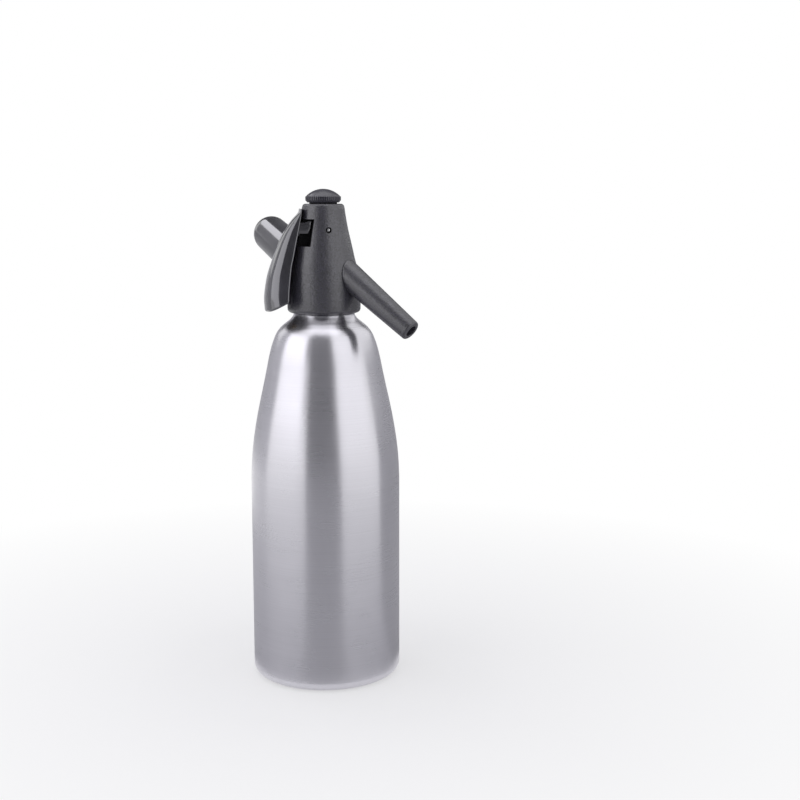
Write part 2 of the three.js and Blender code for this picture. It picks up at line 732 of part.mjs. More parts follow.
// Button screwed on the stem's top end, where the lever's nose presses
function makeButton() {
  const bottom = buttonTop - buttonHeight;
  const bore = stemRadius + fitGap;
  return turned([
    [bore, bottom], [buttonRadius, bottom], [buttonRadius, buttonTop], [0, buttonTop],
    [0, buttonTop - buttonWall], [bore, buttonTop - buttonWall], [bore, bottom],
  ]);
}

add('stem_button', makeButton(), 'steel');

// Seal round the stem and the gland nut that presses on it
add('stem_seal', ring(stemRadius + sealGap, glandBoreRadius - sealGap, stemSealBottom,
  stemSealBottom + stemSealHeight), 'rubber');

function makeGlandNut() {
  const bore = stemRadius + fitGap;
  const shank = glandBoreRadius - fitGap;
  const rim = valveBodyTop + fitGap;
  return turned([
    [bore, glandNutBottom], [shank, glandNutBottom], [shank, rim], [glandNutRimRadius, rim],
    [glandNutRimRadius, glandNutTop], [bore, glandNutTop], [bore, glandNutBottom],
  ]);
}

add('gland_nut', makeGlandNut(), 'brass');

// Adapter screwed in the valve body's lower end: carries the spring and the riser tube
const adapterTop = valveBodyBottom + adapterThreadLength;
const adapterFlangeBottom = valveBodyBottom - adapterFlange;
const barbBottom = adapterFlangeBottom - adapterBarbLength;

function makeAdapter() {
  const thread = chamberRadius - fitGap;
  const barb = riserRadius - riserWall - sealGap;
  return turned([
    [adapterBarbBore, barbBottom], [barb, barbBottom], [barb, adapterFlangeBottom],
    [adapterFlangeRadius, adapterFlangeBottom], [adapterFlangeRadius, valveBodyBottom], [thread, valveBodyBottom],
    [thread, adapterTop], [adapterBarbBore, adapterTop], [adapterBarbBore, barbBottom],
  ]);
}

add('tube_adapter', makeAdapter(), 'white');
add('riser_tube', ring(riserRadius - riserWall, riserRadius, riserFootGap, adapterFlangeBottom - sealGap,
  tinyRoundSteps), 'clear');

// Spring under the stem that closes the valve
add('valve_spring', coil(springCoilRadius, springWire, adapterTop, stemBottom, springTurns), 'steel');

// Spout: tapered tube that plugs into the head, drawn along its own +Z
const spout = new THREE.Group();
spout.applyMatrix4(spoutFrame);
siphon.add(spout);

function makeSpout() {
  const rootStart = valveBodyRadius;
  const lip = arc(spoutTipRadius - spoutTipRound, spoutReach - spoutTipRound, spoutTipRound, 0, Math.PI / 2, 2);
  const mouth = spoutReach - spoutMouthDepth;
  const tube = turned([
    [spoutBore, rootStart], [spoutRootRadius, rootStart], ...lip, [spoutMouthRadius, spoutReach],
    [spoutMouthRadius, mouth], [spoutBore, mouth], [spoutBore, rootStart],
  ], smallRoundSteps);
  const toSpout = spoutFrame.clone().invert();
  const head = headSpace(fitGap).applyMatrix4(toSpout);
  const shank = ring(spoutBore, spoutShankRadius, spoutShankStart, spoutShankStart + spoutShankLength,
    smallRoundSteps);
  return geometryOf(solidOf(tube).subtract(solidOf(head)).add(solidOf(shank)));
}

add('spout', makeSpout(), 'charcoal', spout);
add('spout_seal', ring(spoutBore, spoutShankRadius - sealGap, spoutSealStart, spoutSealStart + spoutSealThickness),
  'rubber', spout);

// Charger inlet, seal, piercing pin and holder, drawn along the inlet's own +Z
const inlet = new THREE.Group();
inlet.applyMatrix4(inletFrame);
siphon.add(inlet);

function makeInletBody() {
  const neckStart = inletPocketStart + fitGap;
  const pinBore = piercingPinRadius + fitGap;
  return turned([
    [pinBore, inletShankStart], [inletShankRadius, inletShankStart], [inletShankRadius, neckStart],
    [inletNeckRadius, neckStart], [inletNeckRadius, inletBossStart], [inletBossRadius, inletBossStart],
    [inletBossRadius, inletBossEnd], [inletBoreRadius, inletBossEnd], [inletBoreRadius, inletBoreEnd],
    [pinBore, inletBoreEnd], [pinBore, inletShankStart],
  ]);
}

function makePiercingPin() {
  const tip = inletBoreEnd + chargerSealThickness + piercingPinProud;
  return turned([
    [0, inletShankStart], [piercingPinRadius, inletShankStart], [piercingPinRadius, tip - piercingPinPoint],
    [0, tip],
  ], tinyRoundSteps);
}

function makeChargerHolder() {
  const start = inletBossStart + fitGap;
  const ball = holderEnd - holderEndRadius;
  const ballSteps = 6;
  const dome = arc(0, ball, holderEndRadius, 0, Math.PI / 2, ballSteps);
  const threadEnd = inletBossEnd + fitGap;
  const inner = arc(0, ball, holderEndRadius - holderWall, 0, Math.PI / 2, ballSteps);
  const bore = inner.filter(([radius]) => radius <= chargerRadius).reverse();
  return turned([
    [inletBossRadius + fitGap, start], [holderMouthRadius, start], [holderMouthRadius, threadEnd],
    ...dome, ...bore, [chargerRadius, bore[bore.length - 1][1]], [chargerRadius, threadEnd],
    [inletBossRadius + fitGap, threadEnd], [inletBossRadius + fitGap, start],
  ]);
}

add('inlet_body', makeInletBody(), 'brass', inlet);
add('piercing_pin', makePiercingPin(), 'steel', inlet);
add('charger_seal', ring(piercingPinRadius + fitGap, inletBoreRadius - sealGap, inletBoreEnd,
  inletBoreEnd + chargerSealThickness), 'rubber', inlet);
add('inlet_check_disc', disc(checkDiscRadius, inletShankStart - fitGap - checkDiscThickness,
  inletShankStart - fitGap, tinyRoundSteps), 'rubber', inlet);
add('charger_holder', makeChargerHolder(), 'gloss', inlet);

// Pressure relief valve in the head's wall, drawn along its own +Z
const relief = new THREE.Group();
relief.applyMatrix4(reliefFrame);
siphon.add(relief);
add('relief_poppet', disc(reliefPoppetRadius, reliefPoppetStart, reliefSpringStart, tinyRoundSteps), 'rubber', relief);
add('relief_spring', coil(reliefSpringRadius, reliefSpringWire, reliefSpringStart, reliefPlugStart,
  reliefSpringTurns), 'steel', relief);
add('relief_plug', ring(reliefVentRadius, reliefPlugRadius, reliefPlugStart, reliefSurface, tinyRoundSteps),
  'brass', relief);

export default siphon;
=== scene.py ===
"""Soda siphon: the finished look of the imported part, in its own frame, in metres.

Sizes are written in millimetres and turned into metres where a mesh is made. The bottle stands on the
origin with its axis along +Z, the lever points to -X and the spout to +X and -Y.
"""

from __future__ import annotations

import logging
import math
from collections.abc import Sequence
from dataclasses import dataclass, field
from enum import Enum

import bpy
import numpy as np
from mathutils import Matrix, Vector


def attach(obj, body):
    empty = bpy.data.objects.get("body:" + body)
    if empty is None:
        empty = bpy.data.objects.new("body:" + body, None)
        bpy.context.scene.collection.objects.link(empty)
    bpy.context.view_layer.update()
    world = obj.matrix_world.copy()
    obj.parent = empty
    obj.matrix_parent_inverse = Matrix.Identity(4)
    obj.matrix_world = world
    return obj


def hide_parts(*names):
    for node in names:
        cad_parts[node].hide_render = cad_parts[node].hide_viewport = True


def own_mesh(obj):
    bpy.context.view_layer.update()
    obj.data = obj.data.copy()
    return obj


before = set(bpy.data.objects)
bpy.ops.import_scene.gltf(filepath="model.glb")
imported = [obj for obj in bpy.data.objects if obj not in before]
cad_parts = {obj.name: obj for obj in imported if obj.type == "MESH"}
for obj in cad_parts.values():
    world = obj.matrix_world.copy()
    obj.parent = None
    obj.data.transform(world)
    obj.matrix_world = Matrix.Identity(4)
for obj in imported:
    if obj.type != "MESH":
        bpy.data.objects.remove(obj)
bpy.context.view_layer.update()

Object, Material, Node = bpy.types.Object, bpy.types.Material, bpy.types.Node
Socket, Tree = bpy.types.NodeSocket, bpy.types.NodeTree
Outline = list[tuple[float, float]]
Corners = list[tuple[float, float, float]]

LOG = logging.getLogger("siphon")
MM = 0.001
TAU = 2.0 * math.pi
CREASE = 32.0


# Surfaces


@dataclass
class Surface:
    """A mesh as whole arrays, in millimetres.

    Args:
        points: vertex positions, one row each.
        quads: four corner numbers per face.
        tris: three corner numbers per face.
    """

    points: np.ndarray
    quads: np.ndarray
    tris: np.ndarray

    def moved(self, matrix: Matrix) -> "Surface":
        """Returns the surface carried through a 4 x 4 matrix whose shift is in millimetres."""
        m = np.array(matrix, float)
        return Surface(self.points @ m[:3, :3].T + m[:3, 3], self.quads, self.tris)


def no_faces(corners: int) -> np.ndarray:
    """Returns an empty face table with that many corners per face."""
    return np.zeros((0, corners), int)


def sort_faces(quads: np.ndarray) -> tuple[np.ndarray, np.ndarray]:
    """Splits faces whose neighbouring corners fell together into triangles.

    Args:
        quads: four corner numbers per face, some of them repeated.

    Returns:
        The true quads and the triangles; faces that shrank to a line are left out.
    """
    same = quads == np.roll(quads, -1, axis=1)
    count = same.sum(axis=1)
    tris = quads[count == 1]
    drop = same[count == 1].argmax(axis=1)
    keep = np.ones(tris.shape, bool)
    keep[np.arange(len(tris)), drop] = False
    return quads[count == 0], tris[keep].reshape(-1, 3)


def grid(points: np.ndarray, wrap_rows: bool, wrap_columns: bool) -> Surface:
    """Skins a table of points with quads, row by row.

    Args:
        points: rows x columns x 3 positions; the faces look along (column step) x (row step).
        wrap_rows: the last row joins the first.
        wrap_columns: the last column joins the first.
    """
    rows, columns = points.shape[:2]
    number = np.arange(rows * columns).reshape(rows, columns)
    if wrap_rows:
        number = np.vstack([number, number[:1]])
    if wrap_columns:
        number = np.hstack([number, number[:, :1]])
    quads = np.stack([number[:-1, :-1], number[:-1, 1:], number[1:, 1:], number[1:, :-1]], -1)
    return Surface(points.reshape(-1, 3), quads.reshape(-1, 4), no_faces(3))


def revolve(profile: np.ndarray, steps: int, closed: bool = False,
            ripple: np.ndarray | None = None) -> Surface:
    """Surface of revolution: profile point (r, z) at angle a becomes (r cos a, r sin a, z).

    Args:
        profile: radius and height per point, up the outside and down the inside.
        steps: columns round the axis.
        closed: the profile is a loop; otherwise its ends lie on the axis.
        ripple: what is added to each radius, points x steps.
    """
    angle = np.arange(steps) * TAU / steps
    radius = np.repeat(profile[:, :1], steps, axis=1)
    if ripple is not None:
        radius = radius + ripple
    height = np.repeat(profile[:, 1:2], steps, axis=1)
    points = np.stack([radius * np.cos(angle), radius * np.sin(angle), height], -1)
    surface = grid(points, closed, True)
    number = np.arange(len(surface.points)).reshape(len(profile), steps)
    on_axis = (profile[:, 0] < 1e-9) & (not closed)
    number[on_axis] = number[on_axis][:, :1]
    quads, tris = sort_faces(number.reshape(-1)[surface.quads])
    return Surface(surface.points, quads, tris)


def rounded(corners: Corners, closed: bool = False, steps: int = 6) -> np.ndarray:
    """Profile with its corners rounded off by arcs that touch both sides.

    Args:
        corners: radius, height and corner radius per corner.
        closed: the profile is a loop.
        steps: arc steps per rounded corner.

    Returns:
        Radius and height per point.
    """
    table = np.array(corners, float)
    count = len(table)
    out: list[np.ndarray] = []
    for i in range(count):
        here, size = table[i, :2], table[i, 2]
        ends = not closed and i in (0, count - 1)
        if size <= 0 or ends:
            out.append(here[None])
            continue
        before, after = table[i - 1, :2] - here, table[(i + 1) % count, :2] - here
        reach = min(np.hypot(*before), np.hypot(*after)) * 0.499
        u, v = before / np.hypot(*before), after / np.hypot(*after)
        half = 0.5 * math.acos(float(np.clip(u @ v, -1, 1)))
        if half > 0.5 * math.pi - 1e-4:
            out.append(here[None])
            continue
        size = min(size, reach * math.tan(half))
        centre = here + (u + v) / np.hypot(*(u + v)) * size / math.sin(half)
        start, end = here + u * size / math.tan(half) - centre, here + v * size / math.tan(half) - centre
        sweep = math.atan2(start[0] * end[1] - start[1] * end[0], float(start @ end))
        turn = np.linspace(0, sweep, steps + 1)
        out.append(centre + np.stack([start[0] * np.cos(turn) - start[1] * np.sin(turn),
                                      start[0] * np.sin(turn) + start[1] * np.cos(turn)], -1))
    return np.vstack(out)


def smooth_through(points: np.ndarray, between: int) -> np.ndarray:
    """Catmull-Rom curve through the points: each span blends the two slopes at its ends with cubic weights.

    Args:
        points: one row per point, any number of columns.
        between: steps per span.
    """
    padded = np.vstack([2 * points[:1] - points[1:2], points, 2 * points[-1:] - points[-2:-1]])
    t = np.linspace(0, 1, between, endpoint=False)[None, :, None]
    a, b, c, d = (padded[k:len(padded) - 3 + k, None, :] for k in range(4))
    square, cube = 2 * a - 5 * b + 4 * c - d, 3 * b - a - 3 * c + d
    curve = 0.5 * (2 * b + (c - a) * t + square * t ** 2 + cube * t ** 3)
    return np.vstack([curve.reshape(-1, points.shape[1]), points[-1:]])


def band(inner: float, outer: float, low: float, high: float, inner_edge: float,
         outer_edge: float) -> Corners:
    """Returns the corners of a ring's square section between two radii and two heights."""
    return [(inner, low, inner_edge), (outer, low, outer_edge), (outer, high, outer_edge),
            (inner, high, inner_edge)]


def along(point: tuple[float, float, float], direction: Vector) -> Matrix:
    """Returns the matrix that lays a piece drawn on +Z along a direction from a point, in millimetres."""
    return Matrix.Translation(point) @ Vector((0, 0, 1)).rotation_difference(direction).to_matrix().to_4x4()


def heading(azimuth: float, rise: float) -> Vector:
    """Returns the unit vector at an azimuth from +X and a rise above the level, in degrees."""
    a, e = math.radians(azimuth), math.radians(rise)
    return Vector((math.cos(e) * math.cos(a), math.cos(e) * math.sin(a), math.sin(e)))


def winding(height: np.ndarray, pitch: float, steps: int) -> np.ndarray:
    """Returns a thread's ridge, 0 to 1, as a clipped cosine of height / pitch - angle / turn."""
    phase = (height / pitch - np.arange(steps)[None] / steps) % 1.0
    return np.clip(1.6 * np.cos(TAU * (phase - 0.5)) + 0.1, 0, 1)


def plate(outline: Outline, low: float, high: float) -> Surface:
    """Flat plate: an outline in (x, z), counter-clockwise seen from -Y, between two values of y."""
    shape = np.array(outline, float)
    count = len(shape)
    near = np.stack([shape[:, 0], np.full(count, low), shape[:, 1]], -1)
    far = near + (0, high - low, 0)
    sides = grid(np.stack([near, far]), False, True)
    flip = sides.quads[:, ::-1]
    fan = np.stack([np.zeros(count - 2, int), np.arange(1, count - 1), np.arange(2, count)], -1)
    return Surface(sides.points, flip, np.vstack([fan, fan[:, ::-1] + count]))


def to_object(name: str, surface: Surface, crease: float = CREASE) -> Object:
    """Makes a smooth-shaded object at the origin, with sharp edges where faces turn more than the crease.

    Args:
        name: the object's name.
        surface: the mesh in millimetres.
        crease: angle in degrees.
    """
    mesh = bpy.data.meshes.new(name)
    used = np.unique(np.concatenate([surface.quads.ravel(), surface.tris.ravel()]))
    renumber = np.zeros(len(surface.points), int)
    renumber[used] = np.arange(len(used))
    quads, tris = renumber[surface.quads], renumber[surface.tris]
    corners = np.concatenate([quads.ravel(), tris.ravel()]).astype(np.int32)
    totals = np.concatenate([np.full(len(quads), 4), np.full(len(tris), 3)]).astype(np.int32)
    starts = np.concatenate([[0], np.cumsum(totals)[:-1]]).astype(np.int32)
    mesh.vertices.add(len(used))
    mesh.vertices.foreach_set("co", (surface.points[used] * MM).astype(np.float32).ravel())
    mesh.loops.add(len(corners))
    mesh.loops.foreach_set("vertex_index", corners)
    mesh.polygons.add(len(totals))
    mesh.polygons.foreach_set("loop_start", starts)
    mesh.polygons.foreach_set("loop_total", totals)
    mesh.update(calc_edges=True)
    mesh.validate()
    mesh.polygons.foreach_set("use_smooth", np.ones(len(totals), bool))
    mesh.set_sharp_from_angle(angle=math.radians(crease))
    piece = bpy.data.objects.new(name, mesh)
    bpy.context.scene.collection.objects.link(piece)
    return piece


def settle(piece: Object) -> None:
    """Applies a piece's modifiers and sets its sharp edges again."""
    bpy.context.view_layer.update()
    graph = bpy.context.evaluated_depsgraph_get()
    mesh = bpy.data.meshes.new_from_object(piece.evaluated_get(graph))
    piece.modifiers.clear()
    piece.data = mesh
    mesh.polygons.foreach_set("use_smooth", np.ones(len(mesh.polygons), bool))
    mesh.set_sharp_from_angle(angle=math.radians(CREASE))


def carve(piece: Object, cutters: Sequence[Surface]) -> None:
    """Cuts solids out of a piece one after the other."""
    for number, cutter in enumerate(cutters):
        tool = to_object(f"cutter_{number}", cutter)
        cut = piece.modifiers.new("cut", "BOOLEAN")
        cut.operation, cut.solver, cut.object = "DIFFERENCE", "EXACT", tool
        settle(piece)
        bpy.data.objects.remove(tool)


def bevel(piece: Object, width: float, steps: int = 2, angle: float = 40.0) -> None:
    """Rounds edges that turn more than an angle in degrees, by a width in millimetres."""
    edge = piece.modifiers.new("edge", "BEVEL")
    edge.width, edge.segments = width * MM, steps
    edge.limit_method, edge.angle_limit = "ANGLE", math.radians(angle)
    edge.use_clamp_overlap = True
    settle(piece)


# Finishes


class Nodes:
    """A short way to write a node tree."""

    def __init__(self, tree: Tree) -> None:
        """Starts on a tree."""
        self.tree = tree

    def add(self, kind: str, **values: object) -> Node:
        """Adds a node.

        Args:
            kind: the node's type name.
            values: the node's properties.
        """
        node = self.tree.nodes.new(kind)
        for name, value in values.items():
            setattr(node, name, value)
        return node

    def link(self, start: Socket, end: Socket) -> None:
        """Joins an output to an input."""
        self.tree.links.new(start, end)

    def noise(self, vector: Socket, scale: float, detail: float = 2.0) -> Socket:
        """Adds a noise texture and returns its value."""
        node = self.add("ShaderNodeTexNoise")
        node.inputs["Scale"].default_value = scale
        node.inputs["Detail"].default_value = detail
        self.link(vector, node.inputs["Vector"])
        return node.outputs["Fac"]

    def stretch(self, value: Socket, low: float, high: float, to_low: float,
                to_high: float) -> Socket:
        """Maps a range of values to another, clamped, and returns the result."""
        node = self.add("ShaderNodeMapRange")
        self.link(value, node.inputs["Value"])
        for name, number in (("From Min", low), ("From Max", high), ("To Min", to_low), ("To Max", to_high)):
            node.inputs[name].default_value = number
        return node.outputs["Result"]

    def scaled(self, vector: Socket, scale: tuple[float, float, float]) -> Socket:
        """Returns coordinates times a scale per axis."""
        node = self.add("ShaderNodeMapping")
        node.inputs["Scale"].default_value = scale
        self.link(vector, node.inputs["Vector"])
        return node.outputs["Vector"]

    def plus(self, value: Socket, factor: float, base: Socket) -> Socket:
        """Returns value * factor + base."""
        node = self.add("ShaderNodeMath", operation="MULTIPLY_ADD")
        self.link(value, node.inputs[0])
        node.inputs[1].default_value = factor
        self.link(base, node.inputs[2])
        return node.outputs["Value"]

    def blend(self, factor: Socket, first: tuple, second: tuple) -> Socket:
        """Mixes two colours and returns the result."""
        node = self.add("ShaderNodeMix", data_type="RGBA")
        self.link(factor, node.inputs["Factor"])
        node.inputs["A"].default_value = (*first, 1.0)
        node.inputs["B"].default_value = (*second, 1.0)
        return node.outputs["Result"]


def grain_group() -> Tree:
    """Builds the node group of a moulded grain: pits of a set size and a coarser mottle."""
    tree = bpy.data.node_groups.new("moulded_grain", "ShaderNodeTree")
    tree.interface.new_socket("Vector", in_out="INPUT", socket_type="NodeSocketVector")
    tree.interface.new_socket("Grains Per Metre", in_out="INPUT", socket_type="NodeSocketFloat")
    tree.interface.new_socket("Height", in_out="OUTPUT", socket_type="NodeSocketFloat")
    tree.interface.new_socket("Mottle", in_out="OUTPUT", socket_type="NodeSocketFloat")
    n = Nodes(tree)
    ins, outs = n.add("NodeGroupInput"), n.add("NodeGroupOutput")
    fine = n.add("ShaderNodeTexNoise")
    fine.inputs["Detail"].default_value = 3.0
    n.link(ins.outputs["Vector"], fine.inputs["Vector"])
    n.link(ins.outputs["Grains Per Metre"], fine.inputs["Scale"])
    cells = n.add("ShaderNodeTexVoronoi", feature="SMOOTH_F1")
    n.link(ins.outputs["Vector"], cells.inputs["Vector"])
    n.link(ins.outputs["Grains Per Metre"], cells.inputs["Scale"])
    n.link(n.plus(cells.outputs["Distance"], 0.22, fine.outputs["Fac"]), outs.inputs["Height"])
    n.link(n.noise(ins.outputs["Vector"], 1500.0, 3.0), outs.inputs["Mottle"])
    return tree


def handling_group() -> Tree:
    """Builds the node group of handling marks: broad soft smudges and fine dust, as masks between 0 and 1."""
    tree = bpy.data.node_groups.new("handling_marks", "ShaderNodeTree")
    tree.interface.new_socket("Vector", in_out="INPUT", socket_type="NodeSocketVector")
    tree.interface.new_socket("Smudge", in_out="OUTPUT", socket_type="NodeSocketFloat")
    tree.interface.new_socket("Dust", in_out="OUTPUT", socket_type="NodeSocketFloat")
    n = Nodes(tree)
    ins, outs = n.add("NodeGroupInput"), n.add("NodeGroupOutput")
    n.link(n.stretch(n.noise(ins.outputs["Vector"], 45.0, 4.0), 0.42, 0.68, 0.0, 1.0), outs.inputs["Smudge"])
    n.link(n.stretch(n.noise(ins.outputs["Vector"], 2600.0, 2.0), 0.64, 0.74, 0.0, 1.0), outs.inputs["Dust"])
    return tree


class Shared(Enum):
    """The node groups that several finishes place."""

    GRAIN = "moulded_grain"
    HANDLING = "handling_marks"

    def tree(self) -> Tree:
        """Returns the group, built the first time it is asked for."""
        known = bpy.data.node_groups.get(self.value)
        return known or {Shared.GRAIN: grain_group, Shared.HANDLING: handling_group}[self]()


@dataclass(frozen=True)
class Finish:
    """What every finish has in common.

    Args:
        name: the finish's name.
        colour: main colour, linear.
        second: colour that it varies towards, linear.
        roughness: main roughness.
    """

    name: str
    colour: tuple[float, float, float]
    second: tuple[float, float, float]
    roughness: float

    def material(self) -> Material:
        """Returns a new material with this finish."""
        material = bpy.data.materials.new(f"{self.name}_finish")
        material.use_nodes = True
        n = Nodes(material.node_tree)
        shader = material.node_tree.nodes["Principled BSDF"]
        shader.inputs["Roughness"].default_value = self.roughness
        self.paint(n, shader, n.add("ShaderNodeTexCoord").outputs["Object"])
        return material

    def paint(self, n: Nodes, shader: Node, where: Socket) -> None:
        """Sets the shader's constants and links what varies over the piece.

        Args:
            n: the node writer.
            shader: the Principled shader.
            where: the object coordinates.
        """
        raise NotImplementedError

    def group(self, n: Nodes, shared: Shared, where: Socket) -> Node:
        """Places a shared group on object coordinates and returns its node."""
        node = n.add("ShaderNodeGroup", node_tree=shared.tree())
        n.link(where, node.inputs["Vector"])
        return node

    def vary(self, n: Nodes, shader: Node, tint: Socket, mask: Socket, ends: tuple[float, float],
             change: tuple[float, float]) -> None:
        """Turns the colour towards the second one by a tint, and the roughness by a mask.

        Args:
            n: the node writer.
            shader: the Principled shader.
            tint: 0 for the main colour, 1 for the second.
            mask: what the roughness follows.
            ends: the mask's values between which the roughness changes.
            change: what is added to the main roughness at those two values.
        """
        n.link(n.blend(tint, self.colour, self.second), shader.inputs["Base Color"])
        low, high = (self.roughness + step for step in change)
        n.link(n.stretch(mask, *ends, low, high), shader.inputs["Roughness"])

    def bump(self, n: Nodes, shader: Node, height: Socket, strength: float, distance: float) -> None:
        """Feeds a height into the shader's normal; the distance is in millimetres."""
        node = n.add("ShaderNodeBump")
        node.inputs["Strength"].default_value = strength
        node.inputs["Distance"].default_value = distance * MM
        n.link(height, node.inputs["Height"])
        n.link(node.outputs["Normal"], shader.inputs["Normal"])


@dataclass(frozen=True)
class BrushedAluminium(Finish):
    """Aluminium brushed round the bottle: hair lines along the girth draw light out along the axis."""

    drawn_out: float = 0.72
    lines_per_metre: float = 5200.0

    def paint(self, n: Nodes, shader: Node, where: Socket) -> None:
        """Makes hair lines of noise that is drawn out along the girth, and dulls them where hands were."""
        shader.inputs["Metallic"].default_value = 1.0
        shader.inputs["Anisotropic"].default_value = self.drawn_out
        shader.inputs["Anisotropic Rotation"].default_value = 0.25
        tangent = n.add("ShaderNodeTangent", direction_type="RADIAL", axis="Z")
        n.link(tangent.outputs["Tangent"], shader.inputs["Tangent"])
        drawn = n.scaled(where, (0.002, 0.002, 1.0))
        coarse = n.noise(drawn, self.lines_per_metre * 0.3)
        lines = n.plus(coarse, 0.20, n.noise(drawn, self.lines_per_metre))
        tone = n.stretch(lines, 0.30, 0.90, 0.0, 1.0)
        n.link(n.blend(tone, self.colour, self.second), shader.inputs["Base Color"])
        smudge = self.group(n, Shared.HANDLING, where).outputs["Smudge"]
        brushed = n.stretch(lines, 0.3, 0.9, self.roughness - 0.02, self.roughness + 0.02)
        n.link(n.plus(smudge, 0.035, brushed), shader.inputs["Roughness"])
        self.bump(n, shader, lines, 0.02, 0.01)


@dataclass(frozen=True)
class GrainedPlastic(Finish):
    """Moulded charcoal plastic: a fine grain, drawn a little along the girth, that glints in specks."""

    grains_per_metre: float = 1300.0
    depth: float = 0.16
    strength: float = 0.55
    index: float = 1.9

    def paint(self, n: Nodes, shader: Node, where: Socket) -> None:
        """Makes the grain, and a mottle that is glossier where it is lighter."""
        shader.inputs["IOR"].default_value = self.index
        grain = self.group(n, Shared.GRAIN, n.scaled(where, (0.6, 0.6, 1.0)))
        grain.inputs["Grains Per Metre"].default_value = self.grains_per_metre
        mottle, ends = grain.outputs["Mottle"], (0.36, 0.64)
        self.vary(n, shader, n.stretch(mottle, *ends, 0.0, 1.0), mottle, ends, (0.08, -0.06))
        self.bump(n, shader, grain.outputs["Height"], self.strength, self.depth)


@dataclass(frozen=True)
class GlossPlastic(Finish):
    """Polished black plastic with faint waves from the mould and light handling marks."""

    index: float = 1.85

    def paint(self, n: Nodes, shader: Node, where: Socket) -> None:
        """Lays a clear coat, with smudges and the mould's waves."""
        shader.inputs["IOR"].default_value = self.index
        shader.inputs["Specular Tint"].default_value = (0.93, 0.92, 1.0, 1.0)
        shader.inputs["Coat Weight"].default_value = 1.0
        shader.inputs["Coat Roughness"].default_value = 0.075
        shader.inputs["Coat IOR"].default_value = 1.75
        smudge = self.group(n, Shared.HANDLING, where).outputs["Smudge"]
        self.vary(n, shader, smudge, smudge, (0.0, 1.0), (0.0, 0.07))
        self.bump(n, shader, n.noise(where, 70.0, 1.0), 0.05, 0.3)


@dataclass(frozen=True)
class TurnedMetal(Finish):
    """Brass or steel turned on a lathe: fine marks of the tool and a slight tarnish."""

    marks_per_metre: float = 5200.0

    def paint(self, n: Nodes, shader: Node, where: Socket) -> None:
        """Makes the tool's marks, and tarnishes the metal where it was handled."""
        shader.inputs["Metallic"].default_value = 1.0
        smudge = self.group(n, Shared.HANDLING, where).outputs["Smudge"]
        fine = n.noise(where, self.marks_per_metre)
        self.vary(n, shader, smudge, fine, (0.3, 0.7), (-0.05, 0.08))
        self.bump(n, shader, fine, 0.12, 0.02)


@dataclass(frozen=True)
class SoftRubber(Finish):
    """Matt rubber with a dusty bloom."""

    def paint(self, n: Nodes, shader: Node, where: Socket) -> None:
        """Lightens the rubber with dust and roughens it by smudges."""
        marks = self.group(n, Shared.HANDLING, where).outputs
        self.vary(n, shader, marks["Dust"], marks["Smudge"], (0.0, 1.0), (0.0, 0.1))
        self.bump(n, shader, n.noise(where, 3000.0), 0.2, 0.05)


@dataclass(frozen=True)
class MilkyPlastic(Finish):
    """Milky or white plastic that lets a little light into it."""

    glow: float = 0.25

    def paint(self, n: Nodes, shader: Node, where: Socket) -> None:
        """Lets light in, with smudges and a faint unevenness."""
        shader.inputs["Subsurface Weight"].default_value = self.glow
        shader.inputs["Subsurface Radius"].default_value = (0.002, 0.002, 0.002)
        shader.inputs["Subsurface Scale"].default_value = 1.0
        smudge = self.group(n, Shared.HANDLING, where).outputs["Smudge"]
        self.vary(n, shader, smudge, smudge, (0.0, 1.0), (0.0, 0.1))
        self.bump(n, shader, n.noise(where, 300.0, 1.0), 0.06, 0.1)


class Finishes(Enum):
    """Every finish on the siphon, by the record's material slot, and one more that paints shade: a near-black
    lining for the head's notches, standing in for the shadow in them.
    """

    brushed_aluminium = BrushedAluminium("brushed_aluminium", (0.67, 0.66, 0.705), (0.73, 0.72, 0.77), 0.28)
    grained_charcoal = GrainedPlastic("grained_charcoal", (0.012, 0.0115, 0.0155), (0.048, 0.0458, 0.061),
                                      0.32, 1200.0, 0.26, 0.7, 1.85)
    cap_charcoal = GrainedPlastic("cap_charcoal", (0.032, 0.0307, 0.041), (0.052, 0.0497, 0.065), 0.30,
                                  2600.0, 0.04, 0.3, 1.65)
    gloss_black = GlossPlastic("gloss_black", (0.008, 0.0077, 0.0105), (0.020, 0.0192, 0.026), 0.14)
    bright_steel = TurnedMetal("bright_steel", (0.72, 0.72, 0.73), (0.60, 0.60, 0.62), 0.18)
    valve_brass = TurnedMetal("valve_brass", (0.64, 0.44, 0.18), (0.50, 0.34, 0.14), 0.24)
    seal_rubber = SoftRubber("seal_rubber", (0.012, 0.012, 0.013), (0.05, 0.05, 0.052), 0.62)
    milky_plastic = MilkyPlastic("milky_plastic", (0.70, 0.74, 0.74), (0.64, 0.69, 0.69), 0.30, 0.35)
    # Painted shade: near-black and matt, darker than the head's plastic, so the notches read as lying in
    # shadow.
    notch_painted_shade = GrainedPlastic("notch_painted_shade", (0.003, 0.003, 0.0035), (0.006, 0.006, 0.007), 0.75,
                                  1500.0, 0.1, 0.4, 1.3)
    white_plastic = MilkyPlastic("white_plastic", (0.76, 0.76, 0.76), (0.70, 0.70, 0.70), 0.38, 0.1)

    def material(self) -> Material:
        """Returns the finish's material, made the first time it is asked for."""
        return bpy.data.materials.get(f"{self.value.name}_finish") or self.value.material()


